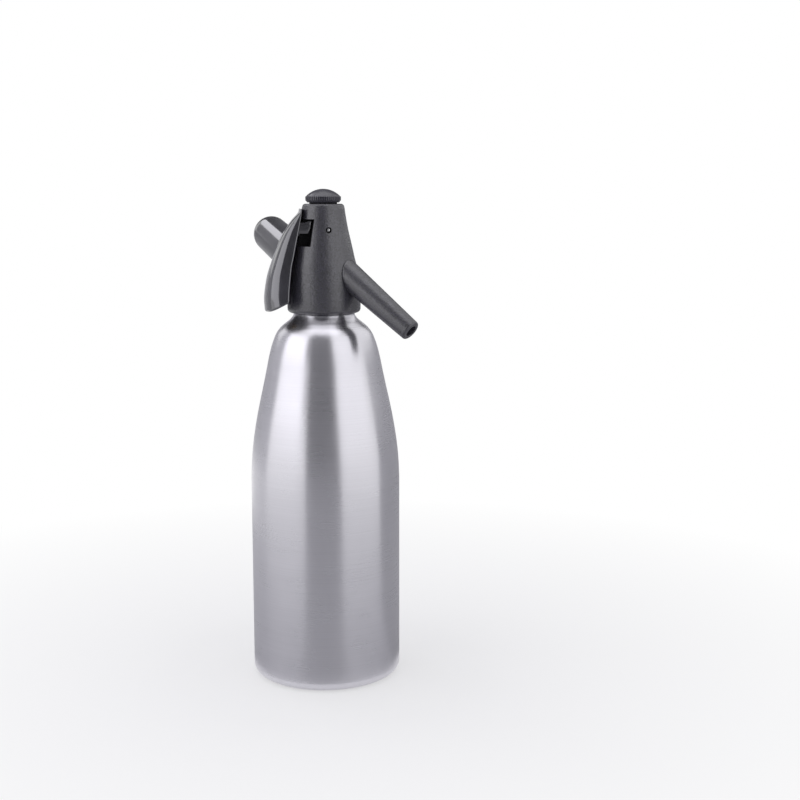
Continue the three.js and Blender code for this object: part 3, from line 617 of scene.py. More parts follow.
def make(name: str, surface: Surface, finish: Finishes, body: str, *stands_for: str, crease: float = CREASE,
         cutters: Sequence[Surface] = (), edge: float = 0.0) -> Object:
    """Makes a piece, gives it its finish and its body, and hides the CAD nodes that it stands for.

    Args:
        name: the piece's name.
        surface: its mesh in millimetres, in place.
        finish: its finish, named as its material slot in the record.
        body: the CAD body that carries it.
        stands_for: CAD nodes that it replaces.
        crease: edges that turn more than this angle stay sharp.
        cutters: solids that are cut out of it.
        edge: width to which its edges are rounded.
    """
    piece = to_object(name, surface, crease)
    carve(piece, cutters)
    if edge > 0:
        bevel(piece, edge)
    piece.data.materials.clear()
    piece.data.materials.append(finish.material())
    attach(piece, body)
    if stands_for:
        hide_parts(*stands_for)
    LOG.info("%s on %s: %d faces, %s", piece.name, body, len(piece.data.polygons), finish.name)
    return piece


# Axes that several pieces share, in millimetres and degrees

LEVER_TURN = Matrix.Rotation(math.radians(6.0), 4, "Z")
PIVOT = (1.7, 0.0, 295.0)
PIN = along(PIVOT, Vector((0, -1, 0)))
INLET = along((0, 0, 261.6), heading(118, 20.4))
RELIEF = along((0, 0, 265.0), heading(48, 0))


# Sub-assemblies


@dataclass
class Bottle:
    """The bottle, with a rounded foot, a long shoulder and a threaded neck, and the measuring tube."""

    radius: float = 49.0
    foot_round: float = 8.0
    groove: tuple[float, float] = (34.0, 36.6)
    groove_slope: float = 0.6
    groove_depth: float = 0.5
    straight: tuple[float, float, float] = (60.0, 90.0, 118.0)
    outline: Outline = field(default_factory=lambda: [
        (49.0, 132.0), (48.6, 142.0), (47.8, 152.0), (46.5, 161.8), (44.85, 171.6), (42.9, 181.4),
        (40.6, 191.8), (38.2, 203.0), (36.2, 212.8), (34.2, 220.4), (31.5, 227.4), (28.6, 231.6),
        (25.2, 234.6), (22.2, 237.0), (20.4, 239.2), (19.6, 241.1)])
    ring_radius: float = 17.6
    ring_top: float = 241.2
    neck_root: float = 241.5
    neck_top: float = 257.0
    neck_bore: float = 14.6
    bore_end: float = 238.0
    thread_crest: float = 17.5
    thread_root: float = 16.9
    thread_pitch: float = 3.0
    wall: float = 1.4
    inside_top: float = 237.2
    floor: float = 2.0
    floor_round: float = 6.6
    tube_radius: float = 13.6
    tube_wall: float = 1.1
    tube_bottom: float = 184.0
    tube_top: float = 258.0
    steps: int = 192

    def profile(self) -> np.ndarray:
        """Outside from the base's centre to the rim, then the inside down to the floor."""
        near, far = self.groove
        slope, deep = self.groove_slope, self.groove_depth
        body, *rows = self.straight
        foot = rounded([(0, 0, 0), (near, 0, 0.6), (near + slope, deep, 0.5), (far - slope, deep, 0.5),
                        (far, 0, 0.6), (self.radius, 0, self.foot_round), (self.radius, body, 0)], steps=10)
        straight = np.array([[self.radius, z] for z in rows])
        shoulder = smooth_through(np.array(self.outline), 8)[:-1]
        ring = rounded([(*self.outline[-2], 0), (*self.outline[-1], 0.3),
                        (self.ring_radius, self.ring_top, 0.2), (self.thread_root, self.neck_root, 0)],
                       steps=4)[1:-1]
        turns = np.linspace(self.neck_root, self.neck_top - 0.8, 61)
        neck = np.stack([np.full(len(turns), self.thread_root), turns], -1)
        rim = np.array([[self.thread_root - 0.5, self.neck_top], [self.neck_bore + 0.4, self.neck_top],
                        [self.neck_bore, self.neck_top - 0.4], [self.neck_bore, self.bore_end]])
        inner = shoulder[shoulder[:, 1] < self.inside_top][::-1] - (self.wall, 0)
        inside = self.radius - self.wall
        floor = rounded([(inside, body, 0), (inside, self.floor, self.floor_round), (0, self.floor, 0)],
                        steps=8)
        return np.vstack([foot, straight, shoulder, ring, neck, rim, inner, floor])

    def thread(self, profile: np.ndarray) -> np.ndarray:
        """Ridge that winds up the neck: a smooth bump of z / pitch - angle / turn that fades at both ends."""
        r, z = profile[:, :1], profile[:, 1:2]
        on_neck = (np.abs(r - self.thread_root) < 1e-6) & (z > self.neck_root) & (z < self.neck_top)
        fade = (np.clip((z - self.neck_root - 1.0) / 1.5, 0, 1)
                * np.clip((self.neck_top - 1.6 - z) / 1.2, 0, 1))
        ridge = winding(z, self.thread_pitch, self.steps) * fade * (self.thread_crest - self.thread_root)
        return np.where(on_neck, ridge, 0.0)

    def build(self) -> None:
        """Makes the bottle and the measuring tube."""
        profile = self.profile()
        make("bottle_shell", revolve(profile, self.steps, ripple=self.thread(profile)),
             Finishes.brushed_aluminium, "bottle", "bottle", "bottle_shoulder")
        inner, flange = self.tube_radius - self.tube_wall, self.ring_radius
        tube = rounded([(inner, self.tube_bottom, 0.4), (self.tube_radius, self.tube_bottom, 0.4),
                        (self.tube_radius, self.neck_top, 0.3), (flange, self.neck_top, 0.3),
                        (flange, self.tube_top, 0.3), (inner, self.tube_top, 0.3)], closed=True, steps=3)
        make("measuring_tube_clear", revolve(tube, 96, closed=True), Finishes.milky_plastic, "bottle",
             "measuring_tube")


@dataclass
class Head:
    """The tapered head: collar, notches for the lever, pin's bore and holes for inlet and relief valve."""

    bottom: float = 241.5
    height: float = 70.0
    collar: float = 23.8
    collar_top: float = 8.2
    collar_round: float = 2.8
    outline: Outline = field(default_factory=lambda: [
        (23.8, 8.2), (23.2, 16.0), (22.3, 23.6), (21.3, 30.5), (20.1, 35.5), (18.9, 41.0), (17.4, 47.6),
        (16.4, 51.8), (15.3, 57.5), (14.45, 62.5), (13.6, 68.5)])
    crown_round: float = 2.2
    bore: float = 17.9
    ledge: float = 17.7
    valve_bore: float = 11.8
    valve_top: float = 42.3
    top_bore: float = 6.2
    notch: tuple[float, float] = (43.0, 60.3)
    notch_front: tuple[float, float] = (-10.0, -7.05)
    notch_side: float = 6.1
    slot_front: float = 6.8
    slot_foot: float = 44.0
    slot_side: float = 4.6
    pin_hole: float = 1.9
    inlet_pocket: tuple[float, float] = (7.8, 16.0)
    relief_hole: tuple[float, float] = (3.3, 15.2)
    beyond: float = 60.0
    steps: int = 200

    def side(self) -> np.ndarray:
        """Outside of the taper as radius and height above the head's lower edge."""
        return smooth_through(np.array(self.outline), 6)

    def radius_at(self, height: np.ndarray) -> np.ndarray:
        """Outside radius at heights in the part's frame."""
        side = self.side()
        return np.interp(height - self.bottom, side[:, 1], side[:, 0])

    def profile(self) -> np.ndarray:
        """Closed section: up the outside, over the rim, down through the bores."""
        crown_radius, below = self.outline[-1][0], self.height - 10
        foot = rounded([(self.bore, 0, 0), (self.collar, 0, self.collar_round),
                        (self.collar, self.collar_top, 0)], steps=10)[1:-1]
        crown = rounded([(crown_radius, below, 0), (crown_radius, self.height, self.crown_round),
                         (self.top_bore, self.height, 0.4), (self.top_bore, below, 0)], steps=8)[1:-1]
        bores = np.array([[self.top_bore, self.valve_top], [self.valve_bore, self.valve_top],
                          [self.valve_bore, self.ledge], [self.bore, self.ledge], [self.bore, 0.6],
                          [self.bore + 0.5, 0]])
        return np.vstack([foot, self.side()[:-1], crown, bores]) + (0, self.bottom)

    def hole(self, size: tuple[float, float], place: Matrix, steps: int) -> Surface:
        """Round cutter of a radius, from a distance along its axis to beyond the head."""
        radius, start = size
        section = np.array([[0, start], [radius, start], [radius, self.beyond], [0, self.beyond]])
        return revolve(section, steps).moved(place)

    def cutters(self) -> list[Surface]:
        """Notches each side of the core, the tongue's slot, and the round holes."""
        low, top = (self.bottom + height for height in self.notch)
        back, outside = -40.0, 30.0
        notch = [(back, low), (self.notch_front[0], low), (self.notch_front[1], top), (back, top)]
        foot = self.bottom + self.slot_foot
        slot = [(back, foot), (self.slot_front, foot), (self.slot_front, top), (back, top)]
        bar = rounded([(0, -outside, 0), (self.pin_hole, -outside, 0), (self.pin_hole, outside, 0),
                       (0, outside, 0)])
        return [plate(notch, -outside, -self.notch_side).moved(LEVER_TURN),
                plate(notch, self.notch_side, outside).moved(LEVER_TURN),
                plate(slot, -self.slot_side, self.slot_side).moved(LEVER_TURN),
                revolve(bar, 48).moved(LEVER_TURN @ PIN),
                self.hole(self.inlet_pocket, INLET, 64), self.hole(self.relief_hole, RELIEF, 48)]

    def build(self) -> None:
        """Makes the head, cuts it and darkens its notches with painted shade."""
        shell = make("head_moulding", revolve(self.profile(), self.steps, closed=True),
                     Finishes.grained_charcoal, "head", "head_housing", cutters=self.cutters())
        # Painted shade: the notches' faces get the near-black material in place of the head's plastic.
        shell.data.materials.append(Finishes.notch_painted_shade.material())
        shell.data.polygons.foreach_set("material_index", self.in_shaded_notch(shell.data).astype(np.int32))

    def in_shaded_notch(self, mesh: bpy.types.Mesh) -> np.ndarray:
        """Returns which faces line the notches and the slot, where the painted shade goes: below the turned
        outside, not in the bores.
        """
        centre, normal = np.zeros(3 * len(mesh.polygons)), np.zeros(3 * len(mesh.polygons))
        mesh.polygons.foreach_get("center", centre)
        mesh.polygons.foreach_get("normal", normal)
        centre, normal = centre.reshape(-1, 3) / MM, normal.reshape(-1, 3)
        radius = np.hypot(centre[:, 0], centre[:, 1])
        low, top = (self.bottom + height for height in self.notch)
        level = (centre[:, 2] > low - 0.1) & (centre[:, 2] < top + 0.1)
        deep = radius < self.radius_at(centre[:, 2]) - 0.25
        return level & deep & ((radius > self.valve_bore + 0.05) | (np.abs(normal[:, 2]) < 0.5))


@dataclass
class Lever:
    """The squeeze lever: a trough with round rims, and the arm that runs to the pin."""

    head: Head
    top: float = 308.3
    top_out: float = 13.3
    reach: float = 25.5
    drop: float = 64.6
    edge_drop: float = 58.2
    top_half_width: float = 8.0
    tail_half_width: float = 20.6
    wall: float = 2.2
    top_wall: float = 1.1
    boxiness: float = 2.6
    stand_off: float = 0.35
    back: Outline = field(default_factory=lambda: [
        (0, 0), (0.14, 0.055), (0.29, 0.118), (0.49, 0.231), (0.67, 0.383), (0.88, 0.612), (0.96, 0.749),
        (1.0, 0.885), (0.985, 1.0)])
    bridge_out: float = 20.1
    arm_low: float = 292.6
    arm_shoulder: float = 299.6
    arm_top: float = 301.5
    cheek_sides: tuple[float, float] = (6.4, 9.0)
    tongue: tuple[float, float] = (291.0, 299.0)
    tongue_side: float = 4.0
    rib_side: float = 1.5
    hub_radii: tuple[float, float] = (1.9, 4.4)
    nose_radius: float = 2.0
    nose_centre: tuple[float, float, float] = (-3.0, 0.0, 292.2)
    edge_round: float = 0.35
    rows: int = 120
    columns: int = 120
    rim_steps: int = 10

    def outside(self) -> np.ndarray:
        """Returns the outer face, rows x columns x 3.

        At angle a across the lever a point lies between the front edge's line and the back's curve by
        cos(a) ** (2 / boxiness), and out to the side by sin(a) ** (2 / boxiness).
        """
        curve = smooth_through(np.array(self.back), 40)
        s = np.linspace(0, 1, self.rows)
        spans = np.hypot(*np.diff(curve * (self.reach, self.drop), axis=0).T)
        length = np.concatenate([[0], np.cumsum(spans)])
        x = np.interp(s, length / length[-1], curve[:, 0])[:, None]
        y = np.interp(s, length / length[-1], curve[:, 1])[:, None]
        edge_height = self.top - self.edge_drop * y
        edge_out = self.head.radius_at(edge_height) + self.stand_off + 0.5 * self.wall_at(s)[:, None]
        depth = np.maximum(self.top_out + self.reach * x - edge_out, 0.6)
        lean = (self.edge_drop - self.drop) * y
        half_width = self.top_half_width + (self.tail_half_width - self.top_half_width) * y
        u = np.linspace(-1, 1, self.columns)[None]
        angle = 0.5 * math.pi * u
        deep = np.abs(np.cos(angle)) ** (2 / self.boxiness)
        wide = np.sign(angle) * np.abs(np.sin(angle)) ** (2 / self.boxiness)
        deep[:, [0, -1]] = 0
        return np.stack([-(edge_out + depth * deep), half_width * wide, edge_height + lean * deep], -1)

    def wall_at(self, s: np.ndarray) -> np.ndarray:
        """Wall thickness: thin at the top, full from a third of the way down."""
        t = np.clip(s / 0.33, 0, 1)
        return self.top_wall + (self.wall - self.top_wall) * t * t * (3 - 2 * t)

    def trough(self) -> Surface:
        """Returns the shell with round rims.

        A loop per row goes over the outer face, round a rim, back along the inner face and round the other
        rim; the last rows draw the loop in to round the open end.
        """
        outer = self.outside()
        across = np.gradient(outer, axis=1)
        down = np.gradient(outer, axis=0)
        normal = np.cross(across, down)
        normal /= np.linalg.norm(normal, axis=2, keepdims=True)
        normal *= np.sign(-normal[:, self.columns // 2, 0])[:, None, None]
        across /= np.linalg.norm(across, axis=2, keepdims=True)
        down /= np.linalg.norm(down, axis=2, keepdims=True)
        wall = self.wall_at(np.linspace(0, 1, self.rows))[:, None, None]
        middle = outer - normal * wall / 2
        half = np.broadcast_to(wall / 2, (self.rows, 1, 1)).copy()
        end = np.linspace(0, 0.5 * math.pi, self.rim_steps)[1:, None, None]
        middle = np.vstack([middle, middle[-1:] + down[-1:] * half[-1:] * np.sin(end)])
        half = np.vstack([half, half[-1:] * np.cos(end)])
        repeat = self.rim_steps - 1
        normal = np.vstack([normal, np.repeat(normal[-1:], repeat, axis=0)])
        across = np.vstack([across, np.repeat(across[-1:], repeat, axis=0)])
        turn = np.linspace(0, math.pi, self.rim_steps)[None, 1:-1, None]
        left = middle[:, :1] + half * (normal[:, :1] * np.cos(math.pi - turn) - across[:, :1] * np.sin(turn))
        right = middle[:, -1:] + half * (normal[:, -1:] * np.cos(turn) + across[:, -1:] * np.sin(turn))
        inner = (middle - normal * half)[:, ::-1]
        loop = np.concatenate([middle + normal * half, right, inner, left], axis=1)
        shell = grid(loop, False, True)
        side, count = self.columns, loop.shape[1]
        last, inner_end = (len(loop) - 1) * count, 2 * side + self.rim_steps - 3
        k = np.arange(side - 1)
        closed = np.stack([k + 1, k, inner_end - k, inner_end - 1 - k], -1)
        rims = (np.arange(side - 1, side + self.rim_steps - 1), np.append(np.arange(inner_end, count), 0))
        fans = []
        for rim, hub in zip(rims, (side - 1, 0)):
            edge = np.stack([rim[1:], rim[:-1]], -1)
            edge = edge[(edge != hub).all(axis=1)]
            fans.append(np.column_stack([edge, np.full(len(edge), hub)]))
        tris = np.vstack(fans)
        return Surface(shell.points, np.vstack([shell.quads, closed, closed[:, ::-1] + last]),
                       np.vstack([tris, tris[:, ::-1] + last]))

    def arm(self) -> dict[str, Surface]:
        """Returns the arm's pieces by name, drawn before the lever's turn."""
        low, shoulder, top, back = self.arm_low, self.arm_shoulder, self.arm_top, -self.bridge_out
        (inner, outer), side = self.cheek_sides, self.tongue_side
        cheek = [(back, low), (-9.6, low), (-8.4, top), (-13.0, shoulder), (back, shoulder)]
        bottom, crest = self.tongue
        tongue = [(back, bottom), (PIVOT[0], bottom), (PIVOT[0], crest), (back, crest)]
        bridge = [(back, low), (-17.9, low), (-17.3, shoulder), (back, shoulder)]
        rib = [(-24.5, 293.0), (-27.0, 286.6), (-21.0, 286.6), (-19.8, 293.0)]
        bore, radius = self.hub_radii
        hub = rounded(band(bore, radius, -side, side, 0.2, 0.3), True, 3)
        nose = rounded([(0, -side, 0), (self.nose_radius, -side, 0.3), (self.nose_radius, side, 0.3),
                        (0, side, 0)], steps=3)
        across = along(self.nose_centre, Vector((0, -1, 0)))
        return {"near_cheek": plate(cheek, -outer, -inner), "far_cheek": plate(cheek, inner, outer),
                "tongue": plate(tongue, -side, side), "bridge": plate(bridge, -outer, outer),
                "rib": plate(rib, -self.rib_side, self.rib_side),
                "hub": revolve(hub, 64, True).moved(PIN), "nose": revolve(nose, 48).moved(across)}

    def build(self) -> None:
        """Makes the trough and the arm's pieces."""
        make("lever_trough", self.trough().moved(LEVER_TURN), Finishes.gloss_black, "lever", "lever",
             crease=50.0)
        for name, surface in self.arm().items():
            edge = 0.0 if name in ("hub", "nose") else self.edge_round
            make(f"lever_{name}", surface.moved(LEVER_TURN), Finishes.gloss_black, "lever", edge=edge)


@dataclass
class Spout:
    """The slanted spout: a tapered tube whose root follows the head, with a ribbed mouth."""

    head: Head
    azimuth: float = -36.0
    fall: float = 35.3
    cross: float = 280.2
    start: float = 11.5
    reach: float = 82.3
    root: float = 9.1
    root_round: float = 0.45
    tip: float = 6.7
    tip_round: float = 1.3
    mouth: float = 3.9
    mouth_depth: float = 5.0
    ribs: int = 6
    rib_height: float = 0.28
    bore: float = 2.4
    bore_start: float = 30.0
    gap: float = 0.3
    steps: int = 144

    def root_reach(self, radius: np.ndarray, angle: np.ndarray, place: Matrix) -> np.ndarray:
        """Distance along the spout at which a line at that radius and angle leaves the head, by halving."""
        low, high = np.full(radius.shape, 2.0), np.full(radius.shape, 60.0)
        to_part = np.array(place, float)
        for _ in range(40):
            middle = 0.5 * (low + high)
            local = np.stack([radius * np.cos(angle), radius * np.sin(angle), middle], -1)
            point = local @ to_part[:3, :3].T + to_part[:3, 3]
            inside = np.hypot(point[..., 0], point[..., 1]) < self.head.radius_at(point[..., 2]) + self.gap
            low, high = np.where(inside, middle, low), np.where(inside, high, middle)
        return low

    def lip(self, radius: float, height: float, angle: np.ndarray) -> tuple[np.ndarray, np.ndarray]:
        """Rows over the tip, down the mouth, whose wall has ribs, and back along the bore.

        Args:
            radius, height: where the rows come from.
            angle: the columns' angles.

        Returns:
            Radius and distance along the spout per row and column.
        """
        rows = rounded([(radius, height - 5, 0), (self.tip, self.reach, self.tip_round),
                        (self.mouth, self.reach, 0.3), (self.mouth - 0.2, self.reach - self.mouth_depth, 0.3),
                        (self.bore, self.reach - self.mouth_depth, 0.2), (self.bore, self.bore_start, 0)],
                       steps=8)[1:]
        out, up = rows[:, :1], rows[:, 1:]
        in_mouth = (up < self.reach - 0.5) & (out > self.bore + 0.3) & (out < self.mouth + 0.02)
        ribs = np.clip(np.cos(self.ribs * angle) * 3.0, -1, 1) * self.rib_height
        return out + np.where(in_mouth, ribs, 0.0), up + 0 * angle

    def build(self) -> None:
        """Makes the spout: rows run from the bore out along the root's face, up the tube and over the lip."""
        place = along((0, 0, self.cross), heading(self.azimuth, -self.fall))
        slope = (self.root - self.tip) / (self.reach - self.start)
        angle = np.arange(self.steps)[None] * TAU / self.steps
        face = np.linspace(self.bore, self.root - 0.5, 12)[:, None] + 0 * angle
        rim = np.full((1, self.steps), self.root)
        for _ in range(6):
            rim_reach = self.root_reach(rim, angle, place)
            rim = self.root - slope * (rim_reach - self.start)
        turn = np.linspace(-0.5 * math.pi, 0, 6)[:, None]
        edge = self.root_round
        end_radius, end_height = self.tip + 0.05, self.reach - 1.2
        share = np.linspace(0, 1, 40)[1:, None]
        lip_radius, lip_height = self.lip(end_radius, end_height, angle)
        radius = np.vstack([face, rim - edge + edge * np.cos(turn), rim * (1 - share) + end_radius * share,
                            lip_radius])
        height = np.vstack([self.root_reach(face, angle + 0 * face, place),
                            rim_reach + edge + edge * np.sin(turn),
                            (rim_reach + edge) * (1 - share) + end_height * share, lip_height])
        points = np.stack([radius * np.cos(angle), radius * np.sin(angle), height], -1)
        make("spout_tube", grid(points, True, True).moved(place), Finishes.grained_charcoal, "head", "spout",
             crease=50.0)


@dataclass
class Cap:
    """The knurled top cap and its seal."""

    shank_radius: float = 5.9
    shank_foot: float = 304.1
    foot: float = 312.3
    foot_radius: float = 10.4
    rim_radius: float = 11.5
    dome_radius: float = 11.05
    dome_foot: float = 4.0
    dome_height: float = 4.69
    knurls: int = 50
    steps_per_knurl: int = 8
    knurl_radius: float = 10.9
    knurl_depth: float = 0.6
    seal: tuple[float, float, float] = (6.2, 9.0, 311.5)

    def profile(self) -> np.ndarray:
        """Shank, rim and dome, which is a part of a ball, as radius and height."""
        z, shank = self.foot, self.shank_radius
        low = rounded([(0, self.shank_foot, 0), (shank, self.shank_foot, 0.6), (shank, z, 0.1),
                       (self.foot_radius, z, 0.3), (11.0, z + 1.0, 0.25), (11.45, z + 1.25, 0.2),
                       (self.rim_radius, z + 3.7, 0.3), (self.dome_radius, z + self.dome_foot, 0.2)],
                      steps=5)[:-1]
        ball = (self.dome_radius ** 2 + self.dome_height ** 2) / (2 * self.dome_height)
        turn = np.linspace(math.asin(self.dome_radius / ball), 0, 28)
        centre = z + self.dome_foot + self.dome_height - ball
        dome = np.stack([ball * np.sin(turn), centre + ball * np.cos(turn)], -1)
        dome[-1, 0] = 0
        return np.vstack([low, dome])

    def build(self) -> None:
        """Makes the cap: the rim has a groove wherever the cosine round it is negative; and its seal."""
        profile = self.profile()
        steps = self.knurls * self.steps_per_knurl
        wave = np.cos(self.knurls * np.arange(steps) * TAU / steps)[None, :]
        above = profile[:, 1:2] - self.foot
        fade = np.clip((above - 1.0) / 0.4, 0, 1) * np.clip((self.dome_foot - above) / 0.5, 0, 1)
        on_band = (profile[:, :1] > self.knurl_radius) * fade
        ripple = -on_band * np.clip(-wave, 0, 1) ** 0.7 * self.knurl_depth
        make("top_cap_knurled", revolve(profile, steps, ripple=ripple), Finishes.cap_charcoal, "cap",
             "top_cap", crease=40.0)
        ring = rounded(band(*self.seal, self.foot, 0.3, 0.3), True, 4)
        make("cap_seal_ring", revolve(ring, 96, True), Finishes.seal_rubber, "head", "cap_seal")


@dataclass
class ChargerHolder:
    """The gas side, drawn about the inlet's axis: the round-ended holder, and the inlet and its fittings."""

    mouth: float = 28.3
    mouth_radius: float = 13.2
    taper_start: float = 36.3
    bore: float = 9.4
    mouth_bore: float = 10.5
    dome_start: float = 81.6
    dome_radius: float = 12.4
    dome_height: float = 12.35
    seat: float = 15.6
    shank: float = 6.0
    neck: float = 7.5
    neck_foot: float = 22.9
    boss_foot: float = 28.0
    boss_end: float = 36.0
    passage: float = 1.6
    nose_bore: float = 4.6
    nose_seat: float = 24.2
    needle: float = 1.3
    needle_tip: float = 27.8
    seal: float = 4.35
    seal_top: float = 25.4
    thread_root: float = 9.85
    thread_height: float = 0.33
    thread_pitch: float = 1.8
    steps: int = 120

    def holder(self) -> Surface:
        """The holder: inside from its end to the mouth, then the tapered outside and a dome."""
        outer = rounded([(self.mouth_bore, self.mouth, 0.3), (self.mouth_radius, self.mouth, 0.7),
                         (self.mouth_radius, self.taper_start, 4.0), (self.dome_radius, self.dome_start, 0)],
                        steps=6)
        turn = np.linspace(0, 0.5 * math.pi, 30)
        dome = (0, self.dome_start) + np.stack([self.dome_radius * np.cos(turn),
                                                self.dome_height * np.sin(turn)], -1)
        dome[-1, 0] = 0
        inside = np.array([[0, 91.7], [3.5, 91.1], [6.8, 89.2], [self.bore, 85.6],
                           [self.bore, self.taper_start], [self.mouth_bore, self.taper_start]])
        return revolve(np.vstack([inside, outer, dome[1:]]), 144)

    def inlet(self) -> Surface:
        """The inlet: a shank and a neck, the boss with its thread, and the hole for the charger's nose."""
        passage, nose, root = self.passage, self.nose_bore, self.thread_root
        neck = rounded([(passage, self.seat, 0.1), (self.shank, self.seat, 0.3),
                        (self.shank, self.neck_foot, 0.1), (self.neck, self.neck_foot, 0.3),
                        (self.neck, self.boss_foot, 0.2), (root, self.boss_foot, 0.3)], steps=3)
        rows = np.linspace(self.boss_foot + 0.4, self.boss_end - 0.6, 57)
        tail = rounded([(root, self.boss_end, 0.3), (nose, self.boss_end, 0.4), (nose, self.nose_seat, 0.2),
                        (passage, self.nose_seat, 0.1)], steps=3)
        profile = np.vstack([neck, np.stack([np.full(len(rows), root), rows], -1), tail])
        out, up = profile[:, :1], profile[:, 1:2]
        on_boss = (np.abs(out - root) < 1e-6) & (up > self.boss_foot + 0.6) & (up < self.boss_end - 0.4)
        ridge = winding(up, self.thread_pitch, self.steps) * self.thread_height
        return revolve(profile, self.steps, True, np.where(on_boss, ridge, 0.0))

    def build(self) -> None:
        """Makes the holder, the inlet, the needle that opens the charger, and the charger's seal."""
        make("holder_shell", self.holder().moved(INLET), Finishes.gloss_black, "holder", "charger_holder")
        make("inlet_neck", self.inlet().moved(INLET), Finishes.valve_brass, "head", "inlet_body")
        needle = rounded([(0, self.seat, 0), (self.needle, self.seat, 0.1), (self.needle, 26.2, 0.2),
                          (0, self.needle_tip, 0)], steps=3)
        make("piercing_needle", revolve(needle, 48).moved(INLET), Finishes.bright_steel, "head",
             "piercing_pin")
        low, top = self.nose_seat, self.seal_top
        ring = rounded([(self.passage, low, 0.3), (self.seal, low, 0.3), (self.seal, top, 0.4),
                        (self.passage, top, 0.4)], True, 4)
        make("charger_seal_ring", revolve(ring, 72, True).moved(INLET), Finishes.seal_rubber, "head",
             "charger_seal")


@dataclass
class Turned:
    """A small turned piece on the bottle's axis or another one.

    Args:
        name: the piece's name.
        node: the CAD node that it stands for.
        body: the CAD body that carries it.
        finish: its finish.
        corners: radius, height and corner radius per corner.
        closed: the profile is a loop.
        place: where its own +Z lies.
    """

    name: str
    node: str
    body: str
    finish: Finishes
    corners: Corners
    closed: bool = True
    place: Matrix = field(default_factory=lambda: Matrix.Identity(4))

    def build(self) -> None:
        """Makes the piece."""
        surface = revolve(rounded(self.corners, self.closed, 4), 72, self.closed).moved(self.place)
        make(self.name, surface, self.finish, self.body, self.node)


@dataclass
class Spring:
    """A wire spring, coiled between two ends on its own axis.

    Args:
        name: the piece's name.
        node: the CAD node that it stands for.
        joint: a joint's name; not used.
        travel: how far that joint moves; not used.
        radius: from the spring's axis to the middle of the wire.
        wire: the wire's radius.
        turns: how often it winds round.
        low, high: its two ends on its own axis.
        fixed: the end that stays; not used.
        place: where its own +Z lies.
    """

    name: str
    node: str
    joint: str
    travel: float
    radius: float
    wire: float
    turns: int
    low: float
    high: float
    fixed: float
    place: Matrix
    ease: float = 0.35
    steps_per_turn: int = 48
    sides: int = 14

    def surface(self) -> Surface:
        """Returns a tube along a helix, with a flat face at both ends.

        At share u of the wire its middle has risen by u - ease sin(2 pi u) / (2 pi) of the spring's length,
        so that the end turns lie flatter.
        """
        u = np.linspace(0, 1, self.turns * self.steps_per_turn + 1)[:, None]
        turn = TAU * self.turns * u
        side = -np.arange(self.sides)[None, :] * TAU / self.sides
        out = self.radius + self.wire * np.cos(side)
        rise = u - self.ease * np.sin(TAU * u) / TAU
        span = self.high - self.low - 2 * self.wire
        height = self.low + self.wire + span * rise + self.wire * np.sin(side)
        tube = grid(np.stack([out * np.cos(turn), out * np.sin(turn), height], -1), False, True)
        k = np.arange(1, self.sides - 1)
        end = np.stack([0 * k, k, k + 1], -1)
        last = len(tube.points) - self.sides
        return Surface(tube.points, tube.quads, np.vstack([end[:, ::-1], end + last]))

    def build(self) -> None:
        """Makes the spring and gives it a mesh of its own."""
        piece = make(self.name, self.surface().moved(self.place), Finishes.bright_steel, "head", self.node,
                     crease=50.0)
        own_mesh(piece)


def springs() -> list[Spring]:
    """Returns the valve's spring, which stands on the tube adapter, and the relief valve's on its plug."""
    return [Spring("valve_coil", "valve_spring", "stem_push", 0.7, 3.3, 0.4, 5, 258.52, 266.38, 258.52,
                   Matrix.Identity(4)),
            Spring("relief_coil", "relief_spring", "relief_lift", 0.6, 1.9, 0.27, 2, 16.31, 19.28, 19.28,
                   RELIEF)]


def valve_pieces() -> list[Turned]:
    """Returns the turned pieces of the valve, the tubes' fittings, the pin and the relief valve's plug."""
    barb_foot, barb_pitch = 240.6, 2.2
    barbs = [(2.05, barb_foot, 0.0)]
    for foot in barb_foot + barb_pitch * np.arange(4):
        barbs += [(1.75, foot + 0.3, 0.1), (2.05, foot + 1.6, 0.1)]
    return [
        Turned("riser_pipe", "riser_tube", "head", Finishes.milky_plastic,
               band(2.3, 3.5, 9.0, 249.35, 0.2, 0.3)),
        Turned("pipe_adapter", "tube_adapter", "head", Finishes.white_plastic,
               [(1.3, barb_foot, 0.0), *barbs, (2.05, 249.6, 0.2), (7.5, 249.6, 0.4), (7.5, 252.0, 0.3),
                (4.9, 252.0, 0.0), (4.9, 258.5, 0.3), (1.3, 258.5, 0.0)]),
        Turned("head_gasket_ring", "head_gasket", "head", Finishes.seal_rubber,
               band(14.6, 17.6, 258.0, 259.2, 0.3, 0.3)),
        Turned("stem_push_button", "stem_button", "stem", Finishes.bright_steel,
               [(0.0, 289.0, 0.0), (1.8, 289.0, 0.0), (1.8, 287.5, 0.1), (4.4, 287.5, 0.3), (4.4, 289.9, 0.5),
                (0.0, 289.9, 0.0)], False),
        Turned("pivot_pin_turned", "pivot_pin", "head", Finishes.bright_steel,
               [(0, -14.7, 0), (0.9, -14.6, 0.6), (1.55, -13.8, 0.5), (1.55, 13.8, 0.5), (0.9, 14.6, 0.6),
                (0, 14.7, 0)], False, LEVER_TURN @ PIN),
        Turned("relief_plug_turned", "relief_plug", "head", Finishes.valve_brass,
               [(0.8, 19.3, 0.1), (3.0, 19.3, 0.2), (3.0, 22.3, 0.4), (0.8, 22.3, 0.2)], True, RELIEF),
    ]


CAD_FINISHES: dict[Finishes, tuple[str, ...]] = {
    Finishes.valve_brass: ("valve_body", "gland_nut"),
    Finishes.bright_steel: ("valve_stem",),
    Finishes.seal_rubber: ("valve_washer", "stem_seal", "body_seal", "spout_seal", "inlet_check_disc",
                           "relief_poppet"),
}


